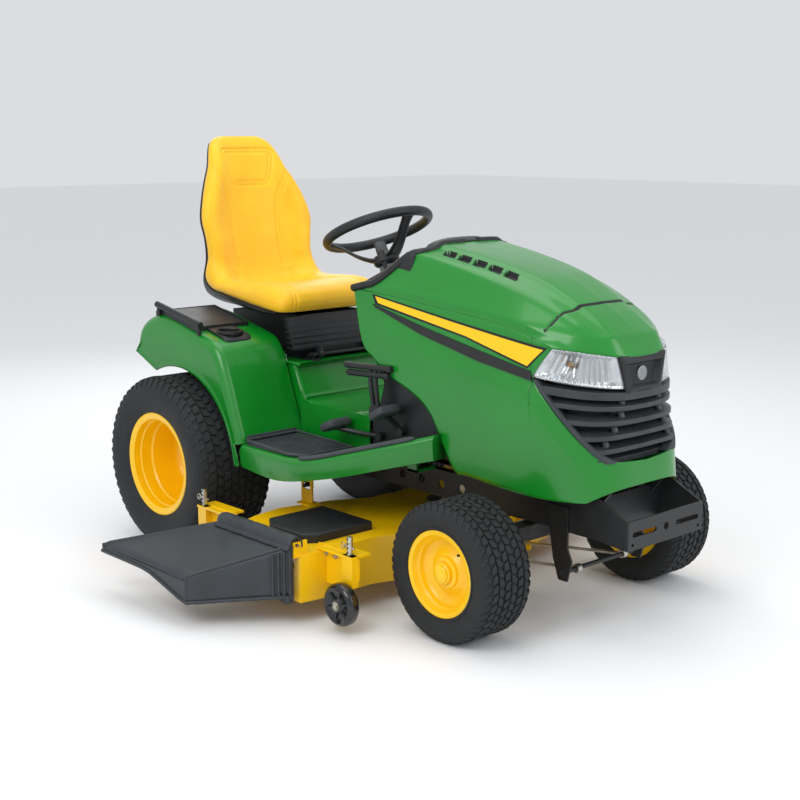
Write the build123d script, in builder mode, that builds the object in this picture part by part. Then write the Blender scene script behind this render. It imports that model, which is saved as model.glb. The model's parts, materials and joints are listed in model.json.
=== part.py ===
from build123d import *
import math
import os

# Riding lawn mower, in millimetres. X runs forward, Y to the driver's left, Z up.
# Built about the point on the ground under the rear axle, then shifted on export
# so that the origin is at the middle of the whole machine's box, on the ground.

# driving dimensions: wheels
wheelbase = 1310
rear_tyre_r = 300
rear_tyre_w = 302
rear_tyre_y = 455
rear_bead_r = 160
rear_lip_r = 177
front_tyre_r = 203
front_tyre_w = 186
front_tyre_y = 420
front_bead_r = 110
front_lip_r = 125
tyre_wall = 14
running_fit = 0.05

# frame
rail_y = 160
rail_t = 5
rail_low = 300
rail_high = 385
rail_flange = 26
rail_rear_x = -262
rail_front_x = 1560
floor_t = 4

# front axle
kingpin_y = 305
kingpin_r = 12.5
axle_pivot_z = 262
axle_pivot_r = 14
boss_low = 240
boss_high = 306
arm_length = 105
stub_r = 9.5
beam_top = 282

# front bracket
bracket_face_x = 1711
bracket_t = 6
bracket_half = 170
bracket_low = 290
bracket_high = 374
bracket_z = 334
slot_length = 107
slot_r = 7
slot_y = 97
centre_hole_r = 11

# hitch
hitch_rear_x = -375
hitch_z = 272
hitch_t = 8
hitch_hole_r = 9.5
hitch_hole_x = -345

# hood
hood_wall = 4
hood_pivot_x = 1600
hood_pivot_z = 440
hood_pin_r = 5

# steering
wheel_x = 486
wheel_z = 1099
wheel_tilt = 23.7
wheel_r = 176
grip_r = 14
column_r = 24
shaft_r = 10

# operator station
platform_z = 650
fender_low_y = 215
fender_high_y = 490
arch_gap = 28
tunnel_half = 225
tunnel_top = 525
board_rear_x = 350
board_front_x = 1057
console_half = 222
pedal_pin_r = 6

# seat
apron_half = fender_low_y - 5
seat_pivot_x = 310
seat_pivot_z = 668
seat_pin_r = 6

# deck
deck_left = 672
deck_right = -700
deck_top = 215
deck_low = 68
deck_t = 5
blade_r = 215
blade_z = 92
outer_spindle_x = 715
outer_spindle_y = 425
centre_spindle_x = 815
spindle_r = 12.5
pulley_r = 60
pulley_z = 222
gauge_r = 64
gauge_w = 40
gauge_z = 86
gauge_pin_r = 8
gauge_y = 650
gauge_front_x = 1062
gauge_rear_x = 330
chute_outer = -965
chute_pin_y = -712
chute_pin_z = 246
chute_pin_r = 5

# engine
crank_x = 1180
crank_r = 14
crank_pulley_z = 276

# the origin: middle of the machine's box, on the ground
middle_x = (bracket_face_x + hitch_rear_x) / 2
middle_y = (deck_left + chute_outer) / 2
to_origin = Location((-middle_x, -middle_y, 0))

os.makedirs("parts", exist_ok=True)


def write(piece, name):
    placed = piece.moved(to_origin)
    placed.label = name
    export_step(placed, f"parts/{name}.step")


# prisms between two planes, from an outline in the third pair of axes
def prism_xz(points, y_low, y_high, mode=Mode.ADD):
    with BuildSketch(Plane.XZ.offset(-y_high)) as outline:
        with BuildLine():
            Polyline(*points, close=True)
        make_face()
    extrude(outline.sketch, amount=y_high - y_low, mode=mode)


def prism_xy(points, z_low, z_high, mode=Mode.ADD):
    with BuildSketch(Plane.XY.offset(z_low)) as outline:
        with BuildLine():
            Polyline(*points, close=True)
        make_face()
    extrude(outline.sketch, amount=z_high - z_low, mode=mode)


def prism_yz(points, x_low, x_high, mode=Mode.ADD):
    with BuildSketch(Plane.YZ.offset(x_low)) as outline:
        with BuildLine():
            Polyline(*points, close=True)
        make_face()
    extrude(outline.sketch, amount=x_high - x_low, mode=mode)


def block(x_range, y_range, z_range, mode=Mode.ADD):
    centre = [(a + b) / 2 for a, b in (x_range, y_range, z_range)]
    size = [abs(b - a) for a, b in (x_range, y_range, z_range)]
    with Locations(tuple(centre)):
        Box(*size, mode=mode)


def bar(start, end, radius, mode=Mode.ADD):
    run = Vector(*end) - Vector(*start)
    with BuildSketch(Plane(origin=start, z_dir=run)) as outline:
        Circle(radius)
    extrude(outline.sketch, amount=run.length, mode=mode)


def turned(points, centre_x, centre_z, mode=Mode.ADD):
    # a ring about a line along Y: each point is (y, radius)
    with BuildSketch(Plane(origin=(centre_x, 0, centre_z), x_dir=(0, 1, 0), z_dir=(1, 0, 0))) as outline:
        with BuildLine():
            Polyline(*points, close=True)
        make_face()
    revolve(outline.sketch, axis=Axis((centre_x, 0, centre_z), (0, 1, 0)), mode=mode)


# ---------------------------------------------------------------- frame

axle_tube_r = 40
rock_x = 400
rock_z = 320
rock_r = 10


def frame_rails():
    with BuildPart() as rails:
        block((rail_rear_x, rail_front_x), (rail_y, rail_y + rail_t), (rail_low, rail_high))
        for z in (rail_low, rail_high - rail_t):
            block((rail_rear_x, rail_front_x), (rail_y - rail_flange, rail_y), (z, z + rail_t))
        for x in (rail_rear_x, 560, rail_front_x - rail_t):
            block((x, x + rail_t), (0, rail_y), (rail_low + rail_t, rail_high - rail_t))
        # axle tube, rock shaft and lightening holes
        bar((0, 0, rear_tyre_r), (0, rail_y + 20, rear_tyre_r), axle_tube_r, Mode.SUBTRACT)
        bar((rock_x, 0, rock_z), (rock_x, rail_y + 20, rock_z), rock_r + running_fit, Mode.SUBTRACT)
        for x in range(700, 1100, 90):
            bar((x, rail_y - 2, 342), (x, rail_y + 20, 342), 14, Mode.SUBTRACT)
        mirror(about=Plane.XZ)
        # saddle that carries the front axle pin
        block((wheelbase - 60, wheelbase - 52), (-rail_y, rail_y), (axle_pivot_z + 34, rail_low))
        block((wheelbase + 52, wheelbase + 60), (-rail_y, rail_y), (axle_pivot_z + 34, rail_low))
        for x in (wheelbase - 60, wheelbase + 52):
            block((x, x + 8), (-30, 30), (axle_pivot_z - 22, rail_low))
        bar((wheelbase - 62, 0, axle_pivot_z), (wheelbase + 62, 0, axle_pivot_z), axle_pivot_r)
    return rails.part


def front_bracket():
    arm_rear_x = 1500
    with BuildPart() as bracket:
        block((bracket_face_x - bracket_t, bracket_face_x), (-bracket_half, bracket_half),
              (bracket_low, bracket_high))
        for y in (-slot_y, slot_y):
            with BuildSketch(Plane.YZ.offset(bracket_face_x - bracket_t)) as slot:
                with Locations((y, bracket_z)):
                    SlotOverall(slot_length, 2 * slot_r)
            extrude(slot.sketch, amount=bracket_t, mode=Mode.SUBTRACT)
        bar((bracket_face_x - bracket_t, 0, bracket_z), (bracket_face_x, 0, bracket_z),
            centre_hole_r, Mode.SUBTRACT)
        for y in (-150, 150):
            bar((bracket_face_x - bracket_t, y, 306), (bracket_face_x, y, 306), 5, Mode.SUBTRACT)
        inner = rail_y + rail_t
        side = [(arm_rear_x, rail_low), (arm_rear_x, rail_high), (1575, 424), (1612, 418),
                (bracket_face_x - bracket_t, bracket_high), (bracket_face_x - bracket_t, bracket_low),
                (1600, 300)]
        prism_xz(side, inner, inner + bracket_t)
        prism_xz(side, -inner - bracket_t, -inner)
        # ears of the hood's hinge on a cross plate
        block((rail_front_x, rail_front_x + bracket_t), (-inner, inner), (rail_low + 30, rail_high + 20))
        ear = [(rail_front_x + bracket_t, 380), (rail_front_x + bracket_t, 404),
               (hood_pivot_x - 8, hood_pivot_z + 8), (hood_pivot_x + 8, hood_pivot_z + 8),
               (hood_pivot_x + 8, hood_pivot_z - 8)]
        for y in (-120, 112):
            prism_xz(ear, y, y + 8)
        bar((hood_pivot_x, -132, hood_pivot_z), (hood_pivot_x, -104, hood_pivot_z), hood_pin_r)
        bar((hood_pivot_x, 104, hood_pivot_z), (hood_pivot_x, 132, hood_pivot_z), hood_pin_r)
    return bracket.part


draft_pivot_x = 1478
draft_pivot_z = 176
draft_rod_r = 5
draft_y = 105


def draft_brackets():
    inner = rail_y + rail_t
    with BuildPart() as plates:
        for y in (-inner - 6, inner):
            side = [(1410, 372), (1495, 372), (1495, 250), (1512, 215), (1496, 152), (1462, 152),
                    (1440, 215), (1425, 300)]
            prism_xz(side, y, y + 6)
        bar((draft_pivot_x, -inner - 14, draft_pivot_z), (draft_pivot_x, inner + 14, draft_pivot_z), 7)
    return plates.part


def draft_rods():
    # two rods that pull the deck, with eyes on the cross pin of the draft brackets
    rear_x = 1062
    rear_z = 118
    with BuildPart() as rods:
        for y in (-draft_y, draft_y):
            bar((draft_pivot_x - 9, y, draft_pivot_z - 1.25), (rear_x, y, rear_z), draft_rod_r)
            bar((draft_pivot_x, y - 9, draft_pivot_z), (draft_pivot_x, y + 9, draft_pivot_z), 13)
        bar((rear_x, -draft_y - 24, rear_z), (rear_x, draft_y + 24, rear_z), draft_rod_r + 1.5)
        bar((draft_pivot_x, -draft_y - 20, draft_pivot_z), (draft_pivot_x, draft_y + 20, draft_pivot_z),
            7 + running_fit, Mode.SUBTRACT)
    return rods.part


def hitch_plate():
    with BuildPart() as hitch:
        prism_xy([(hitch_rear_x, -38), (hitch_rear_x, 38), (hitch_rear_x + 30, 60), (-150, 60),
                  (-150, -60), (hitch_rear_x + 30, -60)], hitch_z, hitch_z + hitch_t)
        block((rail_rear_x - 6, rail_rear_x), (-rail_y, rail_y), (hitch_z + hitch_t, rail_high))
        bar((hitch_hole_x, 0, hitch_z), (hitch_hole_x, 0, hitch_z + hitch_t), hitch_hole_r, Mode.SUBTRACT)
    return hitch.part


def transaxle():
    gap = rail_y - 2
    with BuildPart() as case:
        block((-95, 140), (-105, 105), (225, 372))
        fillet(case.edges().filter_by(Axis.Y), radius=28)
        bar((0, -365, rear_tyre_r), (0, 365, rear_tyre_r), axle_tube_r)
        bar((-110, 0, 300), (150, 0, 300), 60)
        bar((60, 0, 372), (60, 0, 405), 45)
        block((-60, 60), (-gap, gap), (372, 380))
        block((-140, -95), (-50, 50), (hitch_z + hitch_t, 340))
        bar((0, -366, rear_tyre_r), (0, 366, rear_tyre_r), 17.5 + running_fit, Mode.SUBTRACT)
    return case.part


# ---------------------------------------------------------------- axles and wheels

def front_axle():
    with BuildPart() as axle:
        half = [(-kingpin_y, 248), (-150, 236), (150, 236), (kingpin_y, 248), (kingpin_y, beam_top - 1),
                (150, beam_top), (34, beam_top + 7), (-34, beam_top + 7), (-150, beam_top),
                (-kingpin_y, beam_top - 1)]
        prism_yz(half, wheelbase - 24, wheelbase + 24)
        bar((wheelbase - 42, 0, axle_pivot_z), (wheelbase + 42, 0, axle_pivot_z), 30)
        bar((wheelbase - 50, 0, axle_pivot_z), (wheelbase + 50, 0, axle_pivot_z),
            axle_pivot_r + running_fit, Mode.SUBTRACT)
        for side in (-1, 1):
            bar((wheelbase, side * kingpin_y, boss_low), (wheelbase, side * kingpin_y, boss_high), 26)
            bar((wheelbase, side * kingpin_y, boss_low - 1), (wheelbase, side * kingpin_y, boss_high + 1),
                kingpin_r + running_fit, Mode.SUBTRACT)
    return axle.part


rod_z = 245
stub_end = 486


def spindle(side):
    x, y, z = wheelbase, side * kingpin_y, front_tyre_r
    with BuildPart() as knuckle:
        bar((x, y, z - 20), (x, y, boss_low - 0.3), 22)
        bar((x, y, z), (x, y, boss_high + 6), kingpin_r)
        bar((x, y, boss_high + 0.4), (x, y, boss_high + 5), 20)
        bar((x, y, z), (x, side * (kingpin_y + 26), z), 20)
        bar((x, y, z), (x, side * stub_end, z), stub_r)
        block((x - arm_length - 14, x), (y - 14, y + 14), (boss_low - 16, boss_low - 4))
        # ball stud for the tie rod
        bar((x - arm_length, y, boss_low - 10), (x - arm_length, y, rod_z + 8), 6)
    return knuckle.part


def tie_rod():
    x = wheelbase - arm_length
    eye = 6.35
    with BuildPart() as rod:
        bar((x, -kingpin_y + 8, rod_z), (x, kingpin_y - 8, rod_z), 7)
        for y in (-kingpin_y, kingpin_y):
            bar((x, y, rod_z - 8), (x, y, rod_z + 8), 13)
            bar((x, y, rod_z - 9), (x, y, rod_z + 9), eye, Mode.SUBTRACT)
    return rod.part


def tyre(side, centre_x, centre_y, radius, width, bead):
    half = width / 2
    wall = tyre_wall
    y = side * centre_y
    with BuildPart() as ring:
        outer = [(-half * 0.82, bead), (-half * 0.82, bead + 20), (-half * 0.99, radius * 0.76),
                 (-half, radius * 0.86), (-half * 0.93, radius * 0.945), (-half * 0.76, radius * 0.987),
                 (-half * 0.4, radius * 0.998)]
        crown = [(0, radius)]
        section = outer + crown + [(-u, r) for u, r in reversed(outer)]
        cavity = [(half * 0.82 - wall, bead), (half * 0.82 - wall, bead + 18),
                  (half * 0.99 - wall, radius * 0.76),
                  (half - wall, radius * 0.85), (half * 0.9 - wall, radius * 0.93 - wall * 0.5),
                  (half * 0.5, radius * 0.985 - wall)]
        loop = section + cavity + [(-u, r) for u, r in reversed(cavity)]
        turned([(y + u, r) for u, r in loop], centre_x, radius)
    return ring.part


def rear_rim(side):
    z = rear_tyre_r
    half = rear_tyre_w / 2
    seat = half * 0.82
    disc = -62
    with BuildPart() as rim:
        outline = [(-seat - 7, rear_lip_r), (-seat, rear_lip_r), (-seat, rear_bead_r),
                   (seat, rear_bead_r), (seat, rear_lip_r), (seat + 8, rear_lip_r),
                   (seat + 5, rear_bead_r - 8), (96, rear_bead_r - 6), (60, rear_bead_r - 22),
                   (disc + 30, rear_bead_r - 24), (disc + 8, rear_bead_r - 36), (disc + 8, 34),
                   (disc, 34), (disc, rear_bead_r - 32), (disc + 20, rear_bead_r - 16),
                   (52, rear_bead_r - 14), (80, rear_bead_r - 6), (-seat - 5, rear_bead_r - 6)]
        turned([(side * (rear_tyre_y + u), r) for u, r in outline], 0, z)
        # axle shaft, hub flange and five bolts
        shaft_in = side * 150
        hub = side * (rear_tyre_y + disc)
        bar((0, shaft_in, z), (0, hub + side * 30, z), 17.5)
        bar((0, hub - side * 14, z), (0, hub, z), 58)
        bar((0, hub, z), (0, hub + side * 30, z), 33)
        for angle in range(0, 360, 72):
            a = math.radians(angle)
            x, dz = 48 * math.cos(a), 48 * math.sin(a)
            bar((x, hub, z + dz), (x, hub + side * 20, z + dz), 8)
    return rim.part


def front_rim(side):
    z = front_tyre_r
    half = front_tyre_w / 2
    seat = half * 0.82
    disc = 28
    with BuildPart() as rim:
        outline = [(-seat - 5, front_lip_r), (-seat, front_lip_r), (-seat, front_bead_r),
                   (seat, front_bead_r), (seat, front_lip_r), (seat + 6, front_lip_r),
                   (seat + 3, front_bead_r - 7), (seat - 12, front_bead_r - 10), (disc + 12, front_bead_r - 18),
                   (disc + 4, 64), (disc + 4, 30), (disc - 2, 30), (disc - 2, 66), (disc + 4, front_bead_r - 12),
                   (seat - 14, front_bead_r - 5), (-seat - 4, front_bead_r - 5)]
        turned([(side * (front_tyre_y + u), r) for u, r in outline], wheelbase, z)
        hub_in = side * (kingpin_y + 27)
        hub_out = side * (stub_end + 6)
        bar((wheelbase, hub_in, z), (wheelbase, hub_out, z), 31)
        bar((wheelbase, hub_in - side * 1, z), (wheelbase, side * (stub_end + 1), z),
            stub_r + running_fit, Mode.SUBTRACT)
    return rim.part


# ---------------------------------------------------------------- hood

# each station: x, then (half width, height) of the centre, bulge, shoulder and crease, then the sill
hood_stations = [
    (600, 1112, (140, 1103), (208, 1072), (246, 941), 246),
    (930, 1087, (138, 1078), (203, 1048), (242, 921), 244),
    (1295, 1017, (122, 1007), (190, 972), (237, 880), 241),
    (1488, 930, (105, 918), (170, 893), (228, 858), 239),
    (1580, 862, (92, 850), (152, 833), (222, 812), 237),
    (1670, 762, (80, 752), (140, 737), (214, 722), 236),
]
sill_z = 400


def hood_body(inset):
    # the closed form of the hood, its surface moved inward by inset
    floor = sill_z - 20
    with BuildPart() as form:
        sections = []
        for x, top, bulge, shoulder, crease, sill in hood_stations:
            right = [(0, top - inset)]
            right += [(y - inset, z - inset) for y, z in (bulge, shoulder, crease)]
            right += [(sill - inset, floor)]
            left = [(-y, z) for y, z in reversed(right[1:])]
            with BuildSketch(Plane.YZ.offset(x)) as section:
                with BuildLine():
                    Polyline(*(right + left), close=True)
                make_face()
            sections.append(section.sketch)
        loft(sections, ruled=True)
        plans = []
        for z, corner, curve, nose in ((floor - 10, (1522, 242), (1597, 192), 1647),
                                       (1150, (1408, 232), (1538, 158), 1587)):
            with BuildSketch(Plane.XY.offset(z)) as plan:
                with BuildLine():
                    Polyline((corner[0] - inset, -corner[1] - 20), (580, -300), (580, 300),
                             (corner[0] - inset, corner[1] + 20))
                    Spline((corner[0] - inset, corner[1] + 20), (curve[0] - inset, curve[1] - inset / 2),
                           (nose - inset, 0), (curve[0] - inset, -curve[1] + inset / 2),
                           (corner[0] - inset, -corner[1] - 20))
                make_face()
            plans.append(plan.sketch)
        loft(plans, ruled=True, mode=Mode.INTERSECT)
    return form.part


def hood_zone(points):
    with BuildPart() as zone:
        prism_xz(points, -320, 320)
    return zone.part


crease_line = [(600, 941), (1295, 879), (1470, 859)]
lamp_outer = (1406, 748)
lamp_top = (1470, 829)
lip = (1604, 811)
lip_front = (1700, 806)
lamp_inner = (1604, 717)
grille_low = (1612, 515)
grille_front = (1700, 505)
hood_outline = [(881, 1200), (881, 1069), (647, 931), (690, 773), (810, 685), (1001, 593), (1111, 425),
                (1372, 404), (1580, 410), (1640, 448), (1700, 452), (1700, 1200)]

def hood_pieces():
    shell = (hood_body(0) - hood_body(hood_wall)) & hood_zone(hood_outline)
    top_zone = hood_zone([(600, 1200), *crease_line, lamp_top, lip, lip_front, (1700, 1200)])
    front_zone = hood_zone([lamp_outer, lamp_top, lip, lip_front, grille_front, grille_low])
    lamp_zone = hood_zone([lamp_outer, lamp_top, lip, lamp_inner])
    top = shell & top_zone
    vents = []
    for step in range(5):
        x = 985 + 62 * step
        for side in (-1, 1):
            vents.append(Pos(x, side * 158, 1050) * Rot(0, 8, 0) * Box(44, 22, 120))
    for vent in vents:
        top = top - vent
    sides = shell - top_zone - front_zone
    face = (shell & front_zone) - lamp_zone
    for row in range(5):
        low = 530 + 37 * row
        diagonal = lamp_outer[0] + (lamp_outer[1] - low) * (grille_low[0] - lamp_outer[0]) / \
            (lamp_outer[1] - grille_low[1])
        for y in ((-300, -64), (-52, 52), (64, 300)):
            span = (diagonal + 24 + 1700) / 2
            face = face - Pos(span, sum(y) / 2, low + 10) * Box(1700 - diagonal - 24, y[1] - y[0], 20)
    lenses = shell & lamp_zone
    # the hinge straps that carry the hood's nose on its pins
    straps = []
    for y in (-133, 125):
        with BuildPart() as strap:
            prism_xz([(hood_pivot_x - 12, hood_pivot_z - 11), (hood_pivot_x - 12, 560),
                      (1590, 560), (1590, 468), (hood_pivot_x + 12, 462), (hood_pivot_x + 12, hood_pivot_z - 11)],
                     y, y + 8)
            bar((hood_pivot_x, y - 1, hood_pivot_z), (hood_pivot_x, y + 9, hood_pivot_z),
                hood_pin_r + running_fit, Mode.SUBTRACT)
            block((1560, 1640), (y - 20, y + 28), (500, 520))
        straps.append(strap.part)
    inside = hood_body(hood_wall)
    for strap in straps:
        sides = sides + (strap & inside)
    # trim: black strip under the crease and the stripe above it, proud of the panel
    proud = hood_body(-2.5) - hood_body(0)
    strip = proud & hood_zone([(700, 895), (1389, 776), (1410, 752), (1398, 740), (1180, 768), (880, 822)])
    stripe = proud & hood_zone([(730, 921), (1444, 828), (1395, 779), (735, 897)])
    trim = strip + stripe
    return {"hood_top": top, "hood_side_panels": sides, "grille": face, "headlights": lenses,
            "hood_trim": trim}


# ---------------------------------------------------------------- engine bay

def engine_block():
    with BuildPart() as engine:
        block((1040, 1320), (-rail_y - 2, rail_y + 2), (rail_high, rail_high + 8))
        bar((crank_x, 0, rail_high + 8), (crank_x, 0, 560), 105)
        for turn in (-45, 45):
            a = math.radians(turn)
            across = Plane(origin=(crank_x, 0, 478), x_dir=(-math.sin(a), math.cos(a), 0),
                           z_dir=(math.cos(a), math.sin(a), 0))
            with BuildSketch(across) as barrel:
                RectangleRounded(100, 100, 10)
            extrude(barrel.sketch, amount=190)
            for row in range(-3, 4):
                with BuildSketch(across.offset(100)) as fin:
                    with Locations((0, 14 * row)):
                        Rectangle(124, 5)
                extrude(fin.sketch, amount=70)
        bar((crank_x, 0, 330), (crank_x, 0, rail_high), 40)
        bar((crank_x, 0, 320), (crank_x, 0, 480), crank_r + running_fit, Mode.SUBTRACT)
    return engine.part


def blower_housing():
    with BuildPart() as housing:
        bar((crank_x, 0, 560), (crank_x, 0, 648), 150)
        fillet(housing.edges().filter_by(GeomType.CIRCLE).sort_by(Axis.Z)[-1], radius=22)
        bar((crank_x, 0, 560), (crank_x, 0, 640), 140, Mode.SUBTRACT)
        bar((crank_x, 0, 640), (crank_x, 0, 664), 82)
        bar((crank_x, 0, 630), (crank_x, 0, 658), 76, Mode.SUBTRACT)
        block((crank_x - 145, crank_x + 145), (-10, 10), (560, 566))
    return housing.part


def muffler():
    with BuildPart() as can:
        bar((1460, -120, 452), (1460, 120, 452), 46)
        fillet(can.edges(), radius=8)
        bar((1460, -90, 412), (1460, -90, 380), 16)
        block((1440, 1480), (-rail_y + 4, rail_y - 4), (rail_high, 410))
        bar((1460, -90, 450), (1460, -90, 370), 12, Mode.SUBTRACT)
    return can.part


def crank_pulley():
    with BuildPart() as pulley:
        bar((crank_x, 0, crank_pulley_z - 6), (crank_x, 0, 479), crank_r)
        with BuildSketch(Plane.XZ) as groove:
            with BuildLine():
                low = crank_pulley_z
                Polyline((crank_x + crank_r, low), (crank_x + 68, low), (crank_x + 68, low + 3),
                         (crank_x + 54, low + 10), (crank_x + 54, low + 14), (crank_x + 68, low + 21),
                         (crank_x + 68, low + 24), (crank_x + crank_r, low + 24), close=True)
            make_face()
        revolve(groove.sketch, axis=Axis((crank_x, 0, 0), (0, 0, 1)))
    return pulley.part


def fuel_tank():
    with BuildPart() as tank:
        block((-215, 60), (-195, 195), (440, 632))
        fillet(tank.edges().filter_by(Axis.Z), radius=24)
        bar((-60, 180, 617), (-60, 312, 617), 13)
        bar((-60, 312, 600), (-60, 312, 797), 24)
        block((-120, -20), (-rail_y + 4, -rail_y + 30), (rail_high, 450))
        block((-120, -20), (rail_y - 30, rail_y - 4), (rail_high, 450))
        bar((-60, 312, 752), (-60, 312, 798), 18, Mode.SUBTRACT)
    return tank.part


def fuel_cap():
    with BuildPart() as cap:
        bar((-60, 312, 797.4), (-60, 312, 825), 38)
        for angle in range(0, 360, 30):
            a = math.radians(angle)
            x, y = -60 + 39 * math.cos(a), 312 + 39 * math.sin(a)
            bar((x, y, 796), (x, y, 826), 4.5, Mode.SUBTRACT)
        fillet(cap.faces().sort_by(Axis.Z)[-1].edges(), radius=1.5)
        bar((-60, 312, 756), (-60, 312, 798), 17.9)
    return cap.part


def battery():
    with BuildPart() as cell:
        block((170, 300), (-88, 88), (rail_high + 30, 560))
        fillet(cell.edges().filter_by(Axis.Z), radius=6)
        block((165, 305), (-rail_y, rail_y), (rail_high, rail_high + 30))
        for y in (-60, 60):
            bar((200, y, 560), (200, y, 576), 8)
    return cell.part


# ---------------------------------------------------------------- operator station

arch_r = rear_tyre_r + arch_gap


def arch_points(first, last, step):
    return [(arch_r * math.sin(math.radians(a)), rear_tyre_r + arch_r * math.cos(math.radians(a)))
            for a in range(first, last + 1, step)]


def fender_deck():
    top = [(-262, 690), (-240, 742), (-180, 782), (-105, 798), (60, 765), (200, 735), (240, 700),
           (300, 560), (board_rear_x - 6, 440), (board_rear_x, 412)]
    low = [(board_rear_x, 338), (board_rear_x - 8, 334)]
    arch = list(reversed(arch_points(-24, 78, 6)))
    with BuildPart() as fender:
        prism_xz(top + low + arch + [(-262, 655)], fender_low_y, fender_high_y)
        shrunk = [(x + (floor_t if x < -100 else -floor_t * 0.7), z - floor_t) for x, z in top]
        shrunk[-1] = (board_rear_x - floor_t, 412 - floor_t)
        prism_xz(shrunk + [(board_rear_x - floor_t, 200), (0, 200), (-258, 600)],
                 fender_low_y - 1, fender_high_y - floor_t, Mode.SUBTRACT)
        mirror(about=Plane.XZ)
        # middle: seat platform, front slope and tunnel
        centre = [(-262, 690), (-225, 690), (-215, platform_z), (300, platform_z), (345, 560), (385, tunnel_top),
                  (700, tunnel_top), (700, tunnel_top - floor_t), (388, tunnel_top - floor_t - 1),
                  (348, 552), (297, platform_z - floor_t), (-219, platform_z - floor_t), (-228, 686), (-262, 686)]
        prism_xz(centre, -fender_low_y, fender_low_y)
        for y in (-fender_low_y - floor_t, fender_low_y):
            prism_xz([(-240, 740), (-105, 796), (60, 763), (200, 733), (240, 698), (300, 558), (358, 452),
                      (330, 440), (290, 540), (240, 640), (-230, 640)], y, y + floor_t)
        for y in (-tunnel_half, tunnel_half - floor_t):
            prism_xz([(348, 556), (385, tunnel_top), (700, tunnel_top), (700, 412), (board_rear_x - 6, 412)],
                     y, y + floor_t)
        # slots for the pedal and lever stems, neck of the tank and the platform's access hole
        bar((-60, 312, 650), (-60, 312, 900), 26, Mode.SUBTRACT)
        block((-262, -228), (-90, 90), (600, 700), Mode.SUBTRACT)
        for y in (-380, 380):
            bar((152, y, 700), (152, y, 800), 40, Mode.SUBTRACT)
    return fender.part


def footboards():
    front_x = board_front_x
    top = [(board_rear_x, 412), (650, 412), (790, 448), (front_x, 529)]
    low = [(front_x, 450), (800, 376), (541, 327), (board_rear_x, 338)]
    plan = [(board_rear_x, -fender_high_y), (600, -fender_high_y), (800, -428), (front_x, -300),
            (front_x, -252), (985, -252), (970, -tunnel_half), (board_rear_x, -tunnel_half)]
    inner_plan = [(board_rear_x - 5, -fender_high_y + 4), (599, -fender_high_y + 4), (798, -423),
                  (front_x - 4, -297), (front_x - 4, -200), (board_rear_x - 5, -200)]
    with BuildPart() as boards:
        prism_xz(top + low, -fender_high_y, -tunnel_half)
        prism_xy(plan, 300, 560, Mode.INTERSECT)
        with BuildPart(mode=Mode.PRIVATE) as hollow:
            prism_xz([(x, z - floor_t) for x, z in top] + [(front_x, 300), (board_rear_x, 300)],
                     -fender_high_y, -150)
            prism_xy(inner_plan, 290, 560, Mode.INTERSECT)
        add(hollow.part, mode=Mode.SUBTRACT)
        # bearers that rest on the frame rails
        for x in (470, 900):
            block((x, x + 40), (-tunnel_half - 20, -rail_y), (rail_high, rail_high + 8))
            block((x, x + 40), (-tunnel_half - 20, -tunnel_half - 12), (rail_high, 410 if x < 800 else 479))
        mirror(about=Plane.XZ)
    return boards.part


mat_low = 412


def foot_mats():
    outline = [(360, -262), (360, -470), (590, -470), (640, -452), (640, -262)]
    inner = [(368, -270), (368, -462), (588, -462), (632, -446), (632, -270)]
    with BuildPart() as mats:
        prism_xy(outline, mat_low, mat_low + 14)
        prism_xy(inner, mat_low + 5, mat_low + 14, Mode.SUBTRACT)
        for row in range(12):
            y = -278 - 15 * row
            block((376, 624), (y - 4, y), (mat_low + 5, mat_low + 8))
        mirror(about=Plane.XZ)
    return mats.part


def fender_trays(fender):
    # storage tray, cup holder and rail handle on each fender
    with BuildPart() as trays:
        for side in (-1, 1):
            y_in, y_out = side * 262, side * 476
            low, high = min(y_in, y_out), max(y_in, y_out)
            if side < 0:
                prism_xz([(-150, 786), (-105, 795), (100, 753), (100, 775), (-100, 815), (-150, 808)], low, high)
                prism_xz([(-142, 806), (-102, 812), (92, 772), (92, 790), (-142, 830)], low + 8, high - 8,
                         Mode.SUBTRACT)
            bar((152, side * 380, 668), (152, side * 380, 758), 39.9)
            bar((152, side * 380, 671), (152, side * 380, 759), 36, Mode.SUBTRACT)
            bar((152, side * 380, 752), (152, side * 380, 760), 48)
            bar((152, side * 380, 751), (152, side * 380, 761), 36, Mode.SUBTRACT)
            outer = side * 482
            for x, z in ((-120, 796), (120, 752)):
                bar((x, outer, z - 3), (x, outer, z + 34), 8)
            bar((-132, outer, 832), (132, outer, 784), 11)
        add(fender, mode=Mode.SUBTRACT)
    return trays.part


def seat_rails():
    with BuildPart() as rails:
        for y in (-155, 125):
            block((-140, 330), (y, y + 30), (platform_z, platform_z + 5))
            block((-140, 330), (y, y + 5), (platform_z, platform_z + 9))
            block((-140, 330), (y + 25, y + 30), (platform_z, platform_z + 9))
    return rails.part


def seat_carriage():
    low = platform_z + 5.4
    with BuildPart() as carriage:
        for y in (-155, 125):
            block((-90, 270), (y + 5.5, y + 24.5), (low, low + 5))
            block((-60, 250), (y + 8, y + 22), (low + 5, low + 7))
        block((-80, seat_pivot_x - 18), (-150, 150), (low + 5, low + 9))
        for y in (-150, 142):
            prism_xz([(seat_pivot_x - 40, low + 5), (seat_pivot_x - 40, low + 9), (seat_pivot_x - 8, seat_pivot_z + 9),
                      (seat_pivot_x + 9, seat_pivot_z + 9), (seat_pivot_x + 9, seat_pivot_z - 7),
                      (seat_pivot_x - 10, low + 5)], y, y + 8)
        bar((seat_pivot_x, -156, seat_pivot_z), (seat_pivot_x, 156, seat_pivot_z), seat_pin_r)
    return carriage.part


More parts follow.
